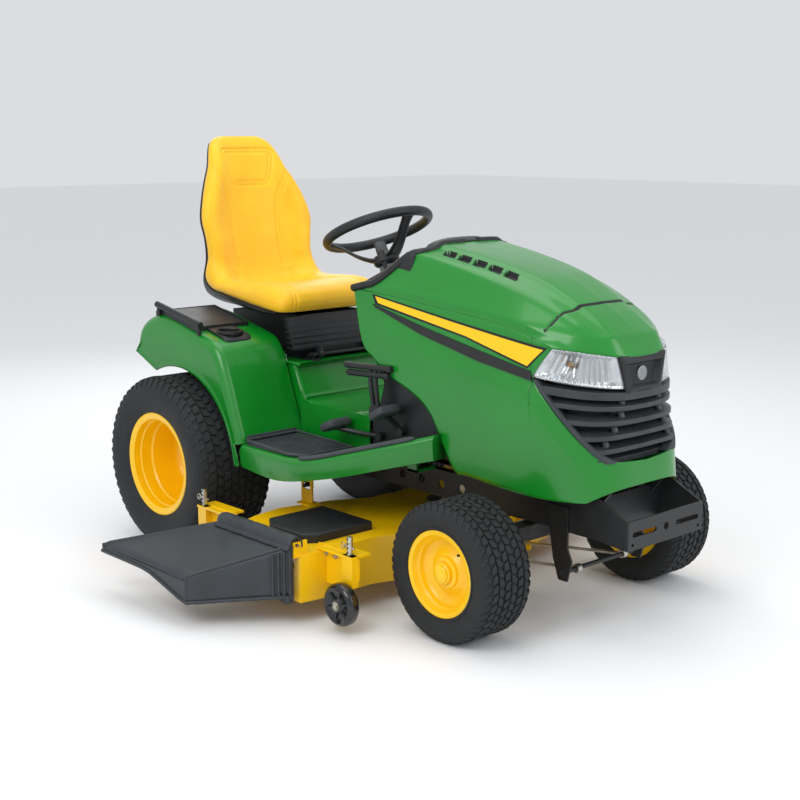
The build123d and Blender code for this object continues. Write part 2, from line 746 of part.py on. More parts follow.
def seat_suspension():
    base = platform_z + 15
    with BuildPart() as base_box:
        prism_xz([(-150, base), (-160, 786), (250, 800), (282, 720), (290, base)], -140, 140)
        prism_xz([(-140, base - 1), (-150, 780), (246, 793), (270, 720), (276, base - 1)], -134, 134,
                 Mode.SUBTRACT)
        # the ribbed front apron
        for row in range(6):
            z = 690 + 18 * row
            block((250 - 3 * row, 300 - 9 * row), (-apron_half, apron_half), (z, z + 7))
        prism_xz([(236, 798), (252, 798), (296, 690), (284, 690)], -apron_half, apron_half)
        for y in (-120, 100):
            bar((seat_pivot_x, y, seat_pivot_z), (seat_pivot_x, y + 20, seat_pivot_z), 12)
            block((270, seat_pivot_x), (y, y + 20), (seat_pivot_z, 700))
            bar((seat_pivot_x, y - 1, seat_pivot_z), (seat_pivot_x, y + 21, seat_pivot_z),
                seat_pin_r + running_fit, Mode.SUBTRACT)
        for y in (-134, 126):
            block((284, 300), (y, y + 8), (base, 690), Mode.SUBTRACT)
    return base_box.part


def seat_outline(grow):
    # side view of the padded seat, from the front of the cushion round to the top of the back
    return [(262 + grow, 836), (246 + grow, 882 + grow), (150, 902 + grow), (-60, 872 + grow),
            (-150, 888 + grow), (-196 + grow, 1000), (-236 + grow, 1240), (-272 + grow, 1392),
            (-300, 1408 + grow), (-330, 1392), (-326, 1240), (-292, 1000), (-262, 858), (-210, 824),
            (0, 812), (200, 812)]


def seat_front_outline(grow):
    right = [(0, 1408 + grow), (118, 1404), (190, 1372), (238, 1290), (248 + grow, 1210), (222, 1090),
             (206, 1000), (222, 960), (246 + grow, 900), (246 + grow, 812), (0, 812)]
    return right + [(-y, z) for y, z in reversed(right[1:-1])]


def seat_cushion():
    with BuildPart() as cushion:
        prism_xz(seat_outline(0), -260, 260)
        prism_yz(seat_front_outline(0), -400, 300, Mode.INTERSECT)
    return cushion.part


def seat_shell():
    rear = [(-330.5, 1300), (-345, 1300), (-330, 1080), (-300, 840), (-250, 800), (200, 801), (262, 811),
            (266, 811.6), (0, 811.6), (-210, 823.6), (-262.5, 857.6), (-292.5, 1000), (-326.5, 1240)]
    with BuildPart() as shell:
        prism_xz(rear, -244, 244)
        waist = [(-250, 790), (-250, 940), (-210, 1000), (-224, 1090), (-236, 1210), (-200, 1310),
                 (200, 1310), (236, 1210), (224, 1090), (210, 1000), (250, 940), (250, 790)]
        prism_yz(waist, -400, 300, Mode.INTERSECT)
    return shell.part


def dash_console():
    outer = [(560, tunnel_top + 0.2), (556, 850), (592, 926), (640, 948), (893, 1066), (910, 1040), (900, 690),
             (1010, 585), (1080, 440), (1000, 430), (706, 430), (701, tunnel_top + 0.2)]
    inner = [(566, 500), (562, 848), (596, 921), (642, 942), (890, 1058), (902, 1038), (892, 688),
             (1002, 580), (1068, 420), (1000, 420), (700, 420)]
    with BuildPart() as console:
        prism_xz(outer, -console_half, console_half)
        prism_xz([(620, 600)] + [(600, 850), (600, 1100), (960, 1100), (960, 600)], -198, 198)
        prism_xz(outer, -260, 260, Mode.INTERSECT)
        prism_xz(inner, -console_half + 5, console_half - 5, Mode.SUBTRACT)
        prism_xy([(920, -230), (920, -170), (1200, -170), (1200, -230)], 300, 500, Mode.SUBTRACT)
        prism_xy([(920, 230), (920, 170), (1200, 170), (1200, 230)], 300, 500, Mode.SUBTRACT)
        prism_xz([(900, 700), (1100, 500), (1100, 380), (1088, 380), (900, 690)], -140, 140, Mode.SUBTRACT)
        # shoulders narrow to fit under the hood
        for side in (-1, 1):
            prism_yz([(side * 198, 1100), (side * 212, 925), (side * 260, 900), (side * 260, 1100)],
                     500, 960, Mode.SUBTRACT)
        bar(column_point(-20), column_point(260), column_r, Mode.SUBTRACT)
        for x, z in pedal_pivots:
            bar((x, -260, z), (x, 260, z), pedal_pin_r + running_fit, Mode.SUBTRACT)
        x, y, z = side_lever_pivot
        bar((x, -260, z), (x, 0, z), lever_pin_r + running_fit, Mode.SUBTRACT)
        # gate slot for the throttle
        block((640, 760), (-126, -114), (900, 1060), Mode.SUBTRACT)
        bar(knob_point(-40), knob_point(60), 9 + running_fit, Mode.SUBTRACT)
    # keep clear of the hood all round
    outside = Pos(900, 0, 800) * Box(500, 700, 800) - hood_body(hood_wall + 4)
    return console.part - outside


# a point on the steering axis, measured down from the wheel's plane
def column_point(distance):
    a = math.radians(wheel_tilt)
    return (wheel_x + distance * math.sin(a), 0, wheel_z - distance * math.cos(a))


dash_slope = math.atan2(1066 - 948, 893 - 640)
pedal_pivots = [(760, 470), (860, 500), (800, 480)]
side_lever_pivot = (770, -262, 556)
lever_pin_r = 8


# a point on the axis of the blade switch, measured out of the sloping dash
def knob_point(distance):
    x, z = 780, 948 + (780 - 640) * math.tan(dash_slope)
    return (x - distance * math.sin(dash_slope), 70, z + distance * math.cos(dash_slope))


def steering_column():
    with BuildPart() as column:
        bar(column_point(60), column_point(280), column_r)
        bar(column_point(66), column_point(120), column_r + 10)
        bar(column_point(40), column_point(240), shaft_r + running_fit, Mode.SUBTRACT)
        block((572, 640), (-20, 20), (770, 850))
        bar(column_point(40), column_point(240), shaft_r + running_fit, Mode.SUBTRACT)
    return column.part


def steering_wheel():
    a = math.radians(wheel_tilt)
    plane = Plane(origin=(wheel_x, 0, wheel_z), x_dir=(math.cos(a), 0, math.sin(a)),
                  z_dir=(-math.sin(a), 0, math.cos(a)))
    with BuildPart() as wheel:
        with BuildSketch(plane.offset(-46)) as hub:
            Circle(46)
        extrude(hub.sketch, amount=26)
        bar(column_point(40), column_point(200), shaft_r)
        for turn in (0, 140, 220):
            t = math.radians(turn)
            ray = plane.x_dir * math.cos(t) + plane.y_dir * math.sin(t)
            start = plane.origin + ray * 34 - plane.z_dir * 34
            end = plane.origin + ray * wheel_r
            spoke = Plane(origin=start, x_dir=plane.z_dir.cross(ray), z_dir=end - start)
            with BuildSketch(spoke) as section:
                RectangleRounded(40, 11, 5)
            extrude(section.sketch, amount=(end - start).length)
        with Locations(plane):
            Torus(wheel_r, grip_r)
    return wheel.part


def pedal(index, pad, lean, side):
    # a stem on a pin in the console's wall, with a tilted pad on top
    x, z = pedal_pivots[index]
    near = console_half + 0.5
    with BuildPart() as lever:
        bar((x, side * (near - 12), z), (x, side * (near + 18), z), pedal_pin_r)
        bar((x, side * (near + 1), z), (x, side * (near + 18), z), 13)
        px, pz = pad
        run = Vector(px - x, 0, pz - z)
        stem = Plane(origin=(x, side * (near + 11), z), x_dir=(0, 1, 0), z_dir=run)
        with BuildSketch(stem) as section:
            Rectangle(13, 16)
        extrude(section.sketch, amount=run.length)
        a = math.radians(lean)
        face = Plane(origin=(px, side * (near + 64), pz), x_dir=(math.cos(a), 0, math.sin(a)),
                     z_dir=(-math.sin(a), 0, math.cos(a)))
        with BuildSketch(face.offset(-8)) as top:
            RectangleRounded(70, 96, 18)
        extrude(top.sketch, amount=20)
    return lever.part


def side_lever():
    # the tall lever with a level grip, at the right of the console
    pivot = side_lever_pivot
    with BuildPart() as lever:
        y0 = pivot[1]
        bar((pivot[0], y0 + 9, pivot[2]), (pivot[0], -console_half + 9, pivot[2]), lever_pin_r)
        bar((pivot[0], y0 - 9, pivot[2]), (pivot[0], y0 + 9, pivot[2]), 16)
        prism_xz([(pivot[0] - 13, pivot[2]), (pivot[0] - 22, 672), (pivot[0] + 24, 672), (pivot[0] + 13, pivot[2])],
                 y0 - 8, y0 + 6)
        prism_xz([(pivot[0] - 5, pivot[2] + 28), (pivot[0] - 9, 650), (pivot[0] + 9, 650),
                  (pivot[0] + 5, pivot[2] + 28)], y0 - 9, y0 + 7, Mode.SUBTRACT)
        bar((640, y0 - 2, 676), (838, y0 - 2, 688), 15)
    return lever.part


def slope_lever(y, x):
    # a flat stem in a gate of the dash, with a rounded handle
    z_foot = 948 + (x - 640) * math.tan(dash_slope) - 70
    up = Vector(-math.sin(dash_slope), 0, math.cos(dash_slope))
    foot = Vector(x, y, z_foot)
    tip = foot + up * 118
    with BuildPart() as lever:
        with BuildSketch(Plane(origin=foot, x_dir=(0, 1, 0), z_dir=up)) as stem:
            Rectangle(6, 16)
        extrude(stem.sketch, amount=118)
        bar((x, y - 16, z_foot), (x, y + 16, z_foot), 9)
        bar(tuple(tip), tuple(tip + up * 34), 12)
    return lever.part


def pto_knob():
    with BuildPart() as knob:
        bar(knob_point(-30), knob_point(22), 9)
        bar(knob_point(14), knob_point(34), 21)
    return knob.part


# ---------------------------------------------------------------- mower deck

hanger_y = 330
hanger_x = 500
ear_rear_x = 582
ear_front_x = 922


def deck_plan(inset):
    # outline of the deck seen from above
    left = deck_left - inset
    right = deck_right + inset
    rear = outer_spindle_x - blade_r - 13 + inset
    front = outer_spindle_x + blade_r + 13 - inset
    nose = centre_spindle_x + blade_r + 13 - inset
    mid_rear = centre_spindle_x - blade_r - 13 + inset
    return [(rear + 150, left), (rear + 22, left - 120), (rear, left - 240), (rear + 40, left - 420),
            (mid_rear, 130), (mid_rear, -130), (rear + 40, right + 448), (rear, right + 268),
            (rear + 22, right + 148), (rear + 80, right), (front - 8, right), (front, right + 60),
            (front, right + 270), (nose - 22, -150), (nose, -70), (nose, 70), (nose - 22, 150),
            (front, left - 240), (front, left - 110), (front - 60, left - 20), (front - 130, left)]


def spindle_places():
    return [(centre_spindle_x, 0), (outer_spindle_x, outer_spindle_y), (outer_spindle_x, -outer_spindle_y)]


def deck_shell():
    with BuildPart() as deck:
        prism_xy(deck_plan(0), deck_low, deck_top)
        prism_xy(deck_plan(deck_t), deck_low - 1, deck_top - deck_t, Mode.SUBTRACT)
        # discharge mouth on the right
        block((580, 905), (deck_right - 5, deck_right + 20), (deck_low - 1, deck_top - deck_t - 4), Mode.SUBTRACT)
        for x, y in spindle_places():
            bar((x, y, deck_top - deck_t), (x, y, deck_top), spindle_r + 20, Mode.ADD)
            bar((x, y, 150), (x, y, pulley_z - 0.6), 44)
            bar((x, y, 140), (x, y, pulley_z), spindle_r + running_fit, Mode.SUBTRACT)
        # hinge ears of the chute
        for x in (ear_rear_x - 8, ear_front_x):
            block((x, x + 8), (chute_pin_y - 8, deck_right + 30), (deck_top - 8, chute_pin_z + 7.5))
        bar((ear_rear_x - 8, chute_pin_y, chute_pin_z), (ear_front_x + 8, chute_pin_y, chute_pin_z), chute_pin_r)
        # hangers of the lift arms, each with a slot
        for y in (-hanger_y - 3, hanger_y - 3):
            block((hanger_x - 24, hanger_x + 32), (y, y + 6), (deck_top - 10, 302))
            block((hanger_x - 16, hanger_x + 22), (y, y + 6), (264, 290), Mode.SUBTRACT)
            block((hanger_x - 24, hanger_x + 40), (y - 20, y + 26), (deck_top, deck_top + 5))
        # front lugs for the draft rods, with upright slots
        for y in (-draft_y - 22, draft_y + 16):
            block((1018, 1086), (y, y + 6), (92, 200))
            block((1049, 1075), (y, y + 6), (108, 186), Mode.SUBTRACT)
    return deck.part


def belt_covers():
    with BuildPart() as covers:
        plan = [(640, -outer_spindle_y + 50), (640, -outer_spindle_y - 165), (700, -outer_spindle_y - 205),
                (850, -outer_spindle_y - 205), (880, -outer_spindle_y - 160), (880, -outer_spindle_y + 50)]
        prism_xy(plan, deck_top, deck_top + 30)
        fillet(covers.faces().sort_by(Axis.Z)[-1].edges(), radius=8)
        inner = [(645, -outer_spindle_y + 51), (645, -outer_spindle_y - 162), (702, -outer_spindle_y - 200),
                 (848, -outer_spindle_y - 200), (875, -outer_spindle_y - 158), (875, -outer_spindle_y + 51)]
        prism_xy(inner, deck_top - 1, deck_top + 26, Mode.SUBTRACT)
        mirror(about=Plane.XZ)
    return covers.part


def blade_spindle(x, y):
    with BuildPart() as blade:
        bar((x, y, blade_z - 12), (x, y, pulley_z + 16), spindle_r)
        bar((x, y, blade_z + 6), (x, y, 149.5), 24)
        bar((x, y, blade_z - 14), (x, y, blade_z), 15)
        bar((x, y, pulley_z), (x, y, pulley_z + 12), pulley_r)
        bar((x, y, pulley_z + 4), (x, y, pulley_z + 8), pulley_r, Mode.SUBTRACT)
        bar((x, y, pulley_z + 4), (x, y, pulley_z + 8), pulley_r - 9)
        plan = [(x - 30, y - blade_r + 10), (x + 22, y - blade_r), (x + 30, y - blade_r + 60), (x + 26, y),
                (x + 30, y + blade_r - 10), (x - 22, y + blade_r), (x - 30, y + blade_r - 60), (x - 26, y)]
        prism_xy(plan, blade_z, blade_z + 6)
    return blade.part


def gauge_places():
    return {"gauge_wheel_front_right": (gauge_front_x, -gauge_y), "gauge_wheel_front_left": (gauge_front_x, gauge_y),
            "gauge_wheel_rear_right": (gauge_rear_x, -gauge_y), "gauge_wheel_rear_left": (gauge_rear_x, gauge_y)}


def gauge_wheel_brackets():
    with BuildPart() as brackets:
        for x, y in gauge_places().values():
            side = math.copysign(1, y)
            stem = sorted((y - side * (gauge_w / 2 + 3), y - side * (gauge_w / 2 + 9)))
            block((x - 16, x + 16), stem, (gauge_z - 22, deck_top + 66))
            arm = sorted((y - side * (gauge_w / 2 + 9), y + side * (gauge_w / 2 - 8)))
            reach = (927, x + 28) if x > 900 else (x - 28, 560)
            block(reach, arm, (deck_top, deck_top + 6))
            block((x - 28, x + 28), arm, (deck_top - 14, deck_top + 6))
            bar((x, stem[0] + (-4 if side > 0 else 10), gauge_z), (x, y + side * 16, gauge_z), gauge_pin_r)
            for z in range(deck_top + 16, deck_top + 60, 14):
                bar((x, stem[0] - 1, z), (x, stem[1] + 1, z), 5, Mode.SUBTRACT)
    return brackets.part


def gauge_wheel(x, y):
    side = math.copysign(1, y)
    half = gauge_w / 2
    with BuildPart() as wheel:
        outline = [(-half, 20), (-half + 4, gauge_r - 14), (-half + 4, gauge_r - 6), (-half + 10, gauge_r),
                   (half - 10, gauge_r), (half - 4, gauge_r - 6), (half - 4, gauge_r - 14), (half - 10, 40),
                   (half - 4, 22), (half - 4, 12), (half, 12), (half, 0), (-half, 0)]
        turned([(y + side * u, r) for u, r in outline], x, gauge_z)
        bar((x, y - side * (half + 1), gauge_z), (x, y + side * 16.5, gauge_z), gauge_pin_r + running_fit,
            Mode.SUBTRACT)
    return wheel.part


def discharge_chute():
    plan = [(572, chute_pin_y - 11), (268, chute_outer), (735, chute_outer), (928, chute_pin_y - 11)]
    inset = [(581, chute_pin_y - 10), (285, chute_outer + 4), (732, chute_outer + 4), (922, chute_pin_y - 10)]
    outer_top = 150
    inner_top = chute_pin_z - 4
    edge = chute_pin_y - 11
    roof = [(edge, inner_top), (chute_outer + 14, outer_top + 4), (chute_outer, outer_top - 12),
            (chute_outer, 66), (edge, 66)]
    under = [(edge + 1, inner_top - 5), (chute_outer + 14, outer_top - 1), (chute_outer + 4, outer_top - 14),
             (chute_outer + 4, 60), (edge + 1, 60)]
    with BuildPart() as chute:
        prism_xy(plan, 60, 260)
        prism_yz(roof, 200, 1000, Mode.INTERSECT)
        with BuildPart(mode=Mode.PRIVATE) as hollow:
            prism_xy(inset, 50, 260)
            prism_yz(under, 200, 1000, Mode.INTERSECT)
        add(hollow.part, mode=Mode.SUBTRACT)
        # the lower edge sweeps up towards the rear
        prism_xz([(200, 50), (200, 128), (500, 128), (690, 66), (690, 50)], chute_outer - 10, edge + 20,
                 Mode.SUBTRACT)
        # hinge knuckles and the raised ribs of the roof
        for x in (590, 740, 892):
            bar((x, chute_pin_y, chute_pin_z), (x + 24, chute_pin_y, chute_pin_z), 10)
            block((x, x + 24), (edge - 4, chute_pin_y), (chute_pin_z - 10, chute_pin_z - 2))
        bar((ear_rear_x, chute_pin_y, chute_pin_z), (ear_front_x, chute_pin_y, chute_pin_z),
            chute_pin_r + running_fit, Mode.SUBTRACT)
    return chute.part


def lift_arms():
    with BuildPart() as arms:
        bar((rock_x, -hanger_y + 18, rock_z), (rock_x, hanger_y - 18, rock_z), rock_r)
        for side in (-1, 1):
            y = side * (hanger_y - 16)
            low, high = y - 4, y + 4
            prism_xz([(rock_x - 12, rock_z - 16), (rock_x - 12, rock_z + 16), (rock_x + 12, rock_z + 14),
                      (hanger_x + 12, 277 + 12), (hanger_x + 12, 277 - 12), (rock_x + 12, rock_z - 18)],
                     low, high)
            bar((hanger_x, y, 277), (hanger_x, side * (hanger_y + 10), 277), 7)
    return arms.part


# ---------------------------------------------------------------- write every piece

write(frame_rails(), "frame_rails")
write(front_bracket(), "front_bracket")
write(draft_brackets(), "draft_brackets")
write(draft_rods(), "draft_rods")
write(hitch_plate(), "hitch_plate")
write(transaxle(), "transaxle")
write(front_axle(), "front_axle")
write(tie_rod(), "tie_rod")
for side, word in ((-1, "right"), (1, "left")):
    write(spindle(side), f"spindle_{word}")
    write(tyre(side, wheelbase, front_tyre_y, front_tyre_r, front_tyre_w, front_bead_r), f"front_tyre_{word}")
    write(front_rim(side), f"front_rim_{word}")
    write(tyre(side, 0, rear_tyre_y, rear_tyre_r, rear_tyre_w, rear_bead_r), f"rear_tyre_{word}")
    write(rear_rim(side), f"rear_rim_{word}")
for name, piece in hood_pieces().items():
    write(piece, name)
write(engine_block(), "engine_block")
write(blower_housing(), "blower_housing")
write(muffler(), "muffler")
write(crank_pulley(), "crank_pulley")
write(fuel_tank(), "fuel_tank")
write(fuel_cap(), "fuel_cap")
write(battery(), "battery")
fender = fender_deck()
write(fender, "fender_deck")
write(footboards(), "footboards")
write(foot_mats(), "foot_mats")
write(fender_trays(fender), "fender_trays")
write(seat_rails(), "seat_rails")
write(seat_carriage(), "seat_carriage")
write(seat_suspension(), "seat_suspension")
write(seat_cushion(), "seat_cushion")
write(seat_shell(), "seat_shell")
write(dash_console(), "dash_console")
write(steering_column(), "steering_column")
write(steering_wheel(), "steering_wheel")
write(pedal(0, (601, 490), 24, -1), "pedal_reverse")
write(pedal(1, (841, 566), 30, -1), "pedal_forward")
write(pedal(2, (862, 556), 30, 1), "pedal_brake")
write(side_lever(), "side_lever")
write(slope_lever(-120, 700), "throttle_lever")
write(pto_knob(), "pto_knob")
write(deck_shell(), "deck_shell")
write(belt_covers(), "belt_covers")
for word, (x, y) in zip(("centre", "left", "right"), spindle_places()):
    write(blade_spindle(x, y), f"blade_spindle_{word}")
write(gauge_wheel_brackets(), "gauge_wheel_brackets")
for name, (x, y) in gauge_places().items():
    write(gauge_wheel(x, y), name)
write(discharge_chute(), "discharge_chute")
write(lift_arms(), "lift_arms")
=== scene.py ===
import bpy
import bmesh
import json
import math
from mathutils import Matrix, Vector


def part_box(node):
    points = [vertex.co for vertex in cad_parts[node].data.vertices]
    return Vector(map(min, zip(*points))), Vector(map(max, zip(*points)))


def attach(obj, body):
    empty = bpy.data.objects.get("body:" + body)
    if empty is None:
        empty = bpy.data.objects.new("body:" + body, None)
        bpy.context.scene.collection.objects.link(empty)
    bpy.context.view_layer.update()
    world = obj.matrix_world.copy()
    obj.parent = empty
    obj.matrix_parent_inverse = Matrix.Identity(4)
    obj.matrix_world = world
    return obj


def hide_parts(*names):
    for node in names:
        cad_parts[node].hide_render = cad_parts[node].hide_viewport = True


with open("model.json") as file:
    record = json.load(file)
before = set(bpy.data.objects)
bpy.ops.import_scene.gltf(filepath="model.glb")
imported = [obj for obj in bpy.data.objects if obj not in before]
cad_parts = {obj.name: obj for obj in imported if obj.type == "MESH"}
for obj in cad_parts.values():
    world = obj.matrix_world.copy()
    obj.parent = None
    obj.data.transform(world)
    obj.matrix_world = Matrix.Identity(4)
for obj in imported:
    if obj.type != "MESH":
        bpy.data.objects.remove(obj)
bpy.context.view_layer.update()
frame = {"nodes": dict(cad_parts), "record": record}

# Garden tractor with a mower deck. Shapes are worked out in millimetres from the point
# on the ground under the rear axle: ahead, to the driver's left, up.
rearRight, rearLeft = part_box("rear_tyre_right"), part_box("rear_tyre_left")
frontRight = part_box("front_tyre_right")
axleX = (rearRight[0].x + rearRight[1].x) / 2
middleY = (rearRight[0].y + rearLeft[1].y) / 2
wheelbase = ((frontRight[0].x + frontRight[1].x) / 2 - axleX) * 1000


def place(x, y, z):
    return Vector((axleX + x / 1000, middleY + y / 1000, z / 1000))


# ---- shapes: points in millimetres, faces, and which finish each face takes

def newShape():
    return {"points": [], "faces": [], "finish": []}


def addFaces(shape, points, faces, finish=0):
    start = len(shape["points"])
    shape["points"] += [tuple(p) for p in points]
    for face in faces:
        shape["faces"].append([start + i for i in face])
        shape["finish"].append(finish)


def addGrid(shape, rows, finish=0, closed=False, joined=False, pick=None):
    # rows of points of equal length; closed joins each row's ends, joined the first row to the last
    width, height = len(rows[0]), len(rows)
    start = len(shape["points"])
    shape["points"] += [tuple(p) for row in rows for p in row]
    for i in range(height if joined else height - 1):
        for j in range(width if closed else width - 1):
            a, b = (i + 1) % height, (j + 1) % width
            shape["faces"].append([start + n for n in (i * width + j, i * width + b, a * width + b,
                                                       a * width + j)])
            shape["finish"].append(pick(i, j) if pick else finish)


def addTurned(shape, profile, centre, axis="y", sides=64, finish=0, side=1, closed=True):
    # profile is (along, radius); closed makes a ring of the profile
    rows = []
    for n in range(sides):
        a = 2 * math.pi * n / sides
        row = []
        for along, r in profile:
            u, v = r * math.sin(a), r * math.cos(a)
            offset = {"x": (along * side, u, v), "y": (u, along * side, v), "z": (u, v, along * side)}[axis]
            row.append([c + o for c, o in zip(centre, offset)])
        rows.append(row)
    addGrid(shape, rows, finish, closed=closed, joined=True)


def addPrism(shape, outline, low, high, flat="xz", finish=0):
    # an outline in two axes, drawn out along the third
    order = {"xz": lambda p, t: (p[0], t, p[1]), "xy": lambda p, t: (p[0], p[1], t), "yz": lambda p,
             t: (t, p[0], p[1])}
    make = order[flat]
    count = len(outline)
    points = [make(p, low) for p in outline] + [make(p, high) for p in outline]
    faces = [list(range(count)), list(range(2 * count - 1, count - 1, -1))]
    faces += [[i, (i + 1) % count, count + (i + 1) % count, count + i] for i in range(count)]
    addFaces(shape, points, faces, finish)


def addBlock(shape, xs, ys, zs, finish=0):
    addPrism(shape, [(xs[0], ys[0]), (xs[1], ys[0]), (xs[1], ys[1]), (xs[0], ys[1])], zs[0], zs[1], "xy",
             finish)


def addTube(shape, path, radius, sides=12, finish=0, flatten=1.0):
    # a round bar along a path of points
    path = [Vector(p) for p in path]
    rows, up = [], None
    for i, point in enumerate(path):
        ahead = (path[min(i + 1, len(path) - 1)] - path[max(i - 1, 0)]).normalized()
        if up is None:
            up = ahead.cross(Vector((0, 0, 1)) if abs(ahead.z) < 0.9 else Vector((0, 1, 0))).normalized()
        up = (up - ahead * up.dot(ahead)).normalized()
        across = ahead.cross(up)
        r = radius[i] if isinstance(radius, (list, tuple)) else radius
        rows.append([point + up * (r * math.cos(t)) + across * (r * flatten * math.sin(t))
                     for t in [2 * math.pi * k / sides for k in range(sides)]])
    start = len(shape["points"])
    addGrid(shape, rows, finish, closed=True)
    last = start + (len(rows) - 1) * sides
    for ring in (range(start, start + sides), range(last + sides - 1, last - 1, -1)):
        shape["faces"].append(list(ring))
        shape["finish"].append(finish)


def addBolt(shape, centre, axis="y", size=9, out=1, finish=0):
    # washer and six-sided head, standing out along the axis
    washer = [(0, 0.01), (0, size * 1.35), (1.6 * out, size * 1.35), (1.6 * out, 0.01)]
    head = [(1.6 * out, 0.01), (1.6 * out, size), (6 * out, size), (7.5 * out, size * 0.8),
            (7.5 * out, 0.01)]
    addTurned(shape, washer, centre, axis, 20, finish)
    addTurned(shape, head, centre, axis, 6, finish)


def smoothPath(points, steps=6):
    # a curve through the points
    points = [Vector(p) for p in points]
    out = []
    for i in range(len(points) - 1):
        a, b = points[max(i - 1, 0)], points[i]
        c, d = points[i + 1], points[min(i + 2, len(points) - 1)]
        for k in range(steps):
            t = k / steps
            out.append(0.5 * ((2 * b) + (c - a) * t + (2 * a - 5 * b + 4 * c - d) * t * t
                              + (3 * b - a - 3 * c + d) * t ** 3))
    return out + [points[-1]]


def blendValue(x, pairs):
    # value at x along a list of (x, value), eased between the points
    if x <= pairs[0][0]:
        return pairs[0][1]
    for i, ((a, low), (b, high)) in enumerate(zip(pairs, pairs[1:])):
        if x <= b:
            t = (x - a) / (b - a)
            before = pairs[i - 1] if i else (2 * a - b, 2 * low - high)
            after = pairs[i + 2] if i + 2 < len(pairs) else (2 * b - a, 2 * high - low)
            slopeA = (high - before[1]) / (b - before[0]) * (b - a)
            slopeB = (after[1] - low) / (after[0] - a) * (b - a)
            return ((2 * t ** 3 - 3 * t * t + 1) * low + (t ** 3 - 2 * t * t + t) * slopeA
                    + (3 * t * t - 2 * t ** 3) * high + (t ** 3 - t * t) * slopeB)
    return pairs[-1][1]


def straightValue(x, pairs):
    # value at x along a list of (x, value), in straight runs
    if x <= pairs[0][0]:
        return pairs[0][1]
    for (a, low), (b, high) in zip(pairs, pairs[1:]):
        if x <= b:
            return low + (high - low) * (x - a) / (b - a) if b > a else high
    return pairs[-1][1]


def makePiece(name, shape, body, finishes, replaced=(), bevel=0, sharp=32, levels=0, thick=0,
              segments=2):
    mesh = bpy.data.meshes.new(name)
    mesh.from_pydata([place(*p) for p in shape["points"]], [], shape["faces"])
    for look in finishes:
        mesh.materials.append(look)
    mesh.polygons.foreach_set("material_index", shape["finish"])
    work = bmesh.new()
    work.from_mesh(mesh)
    bmesh.ops.remove_doubles(work, verts=work.verts, dist=0.00002)
    bmesh.ops.recalc_face_normals(work, faces=work.faces)
    work.to_mesh(mesh)
    work.free()
    piece = bpy.data.objects.new(name, mesh)
    bpy.context.scene.collection.objects.link(piece)
    if thick:
        wall = piece.modifiers.new("wall", "SOLIDIFY")
        wall.thickness, wall.offset = thick / 1000, -1
    if bevel:
        edge = piece.modifiers.new("edges", "BEVEL")
        edge.width, edge.segments, edge.angle_limit = bevel / 1000, segments, math.radians(sharp)
        edge.harden_normals = False
    if levels:
        smoother = piece.modifiers.new("smooth", "SUBSURF")
        smoother.levels = smoother.render_levels = levels
    mesh.shade_smooth()
    if not levels:
        mesh.set_sharp_from_angle(angle=math.radians(48 if bevel else sharp))
    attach(piece, body)
    if replaced:
        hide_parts(*replaced)
    return piece


def softenNode(node, body, finish, slot, bevel=1.5, segments=2):
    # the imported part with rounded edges, in place of the square one
    mesh = frame["nodes"][node].data.copy()
    mesh.materials.clear()
    mesh.materials.append(finish)
    work = bmesh.new()
    work.from_mesh(mesh)
    bmesh.ops.remove_doubles(work, verts=work.verts, dist=0.00001)
    bmesh.ops.dissolve_limit(work, angle_limit=math.radians(1.5), verts=work.verts, edges=work.edges)
    for face in work.faces:
        face.material_index = 0
    work.to_mesh(mesh)
    work.free()
    piece = bpy.data.objects.new(node + "_finished", mesh)
    bpy.context.scene.collection.objects.link(piece)
    edge = piece.modifiers.new("edges", "BEVEL")
    edge.width, edge.segments, edge.angle_limit = bevel / 1000, segments, math.radians(30)
    mesh.shade_smooth()
    mesh.set_sharp_from_angle(angle=math.radians(40))
    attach(piece, body)
    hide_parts(node)
    return piece


# ---- materials

def linear(text):
    parts = [int(text[i:i + 2], 16) / 255 for i in (1, 3, 5)]
    return [c / 12.92 if c <= 0.04045 else ((c + 0.055) / 1.055) ** 2.4 for c in parts] + [1]


def addNode(tree, kind, settings=None, links=None):
    node = tree.nodes.new(kind)
    for key, value in (settings or {}).items():
        if key in node.inputs.keys():
            node.inputs[key].default_value = value
        else:
            setattr(node, key, value)
    for key, socket in (links or {}).items():
        tree.links.new(socket, node.inputs[key])
    return node


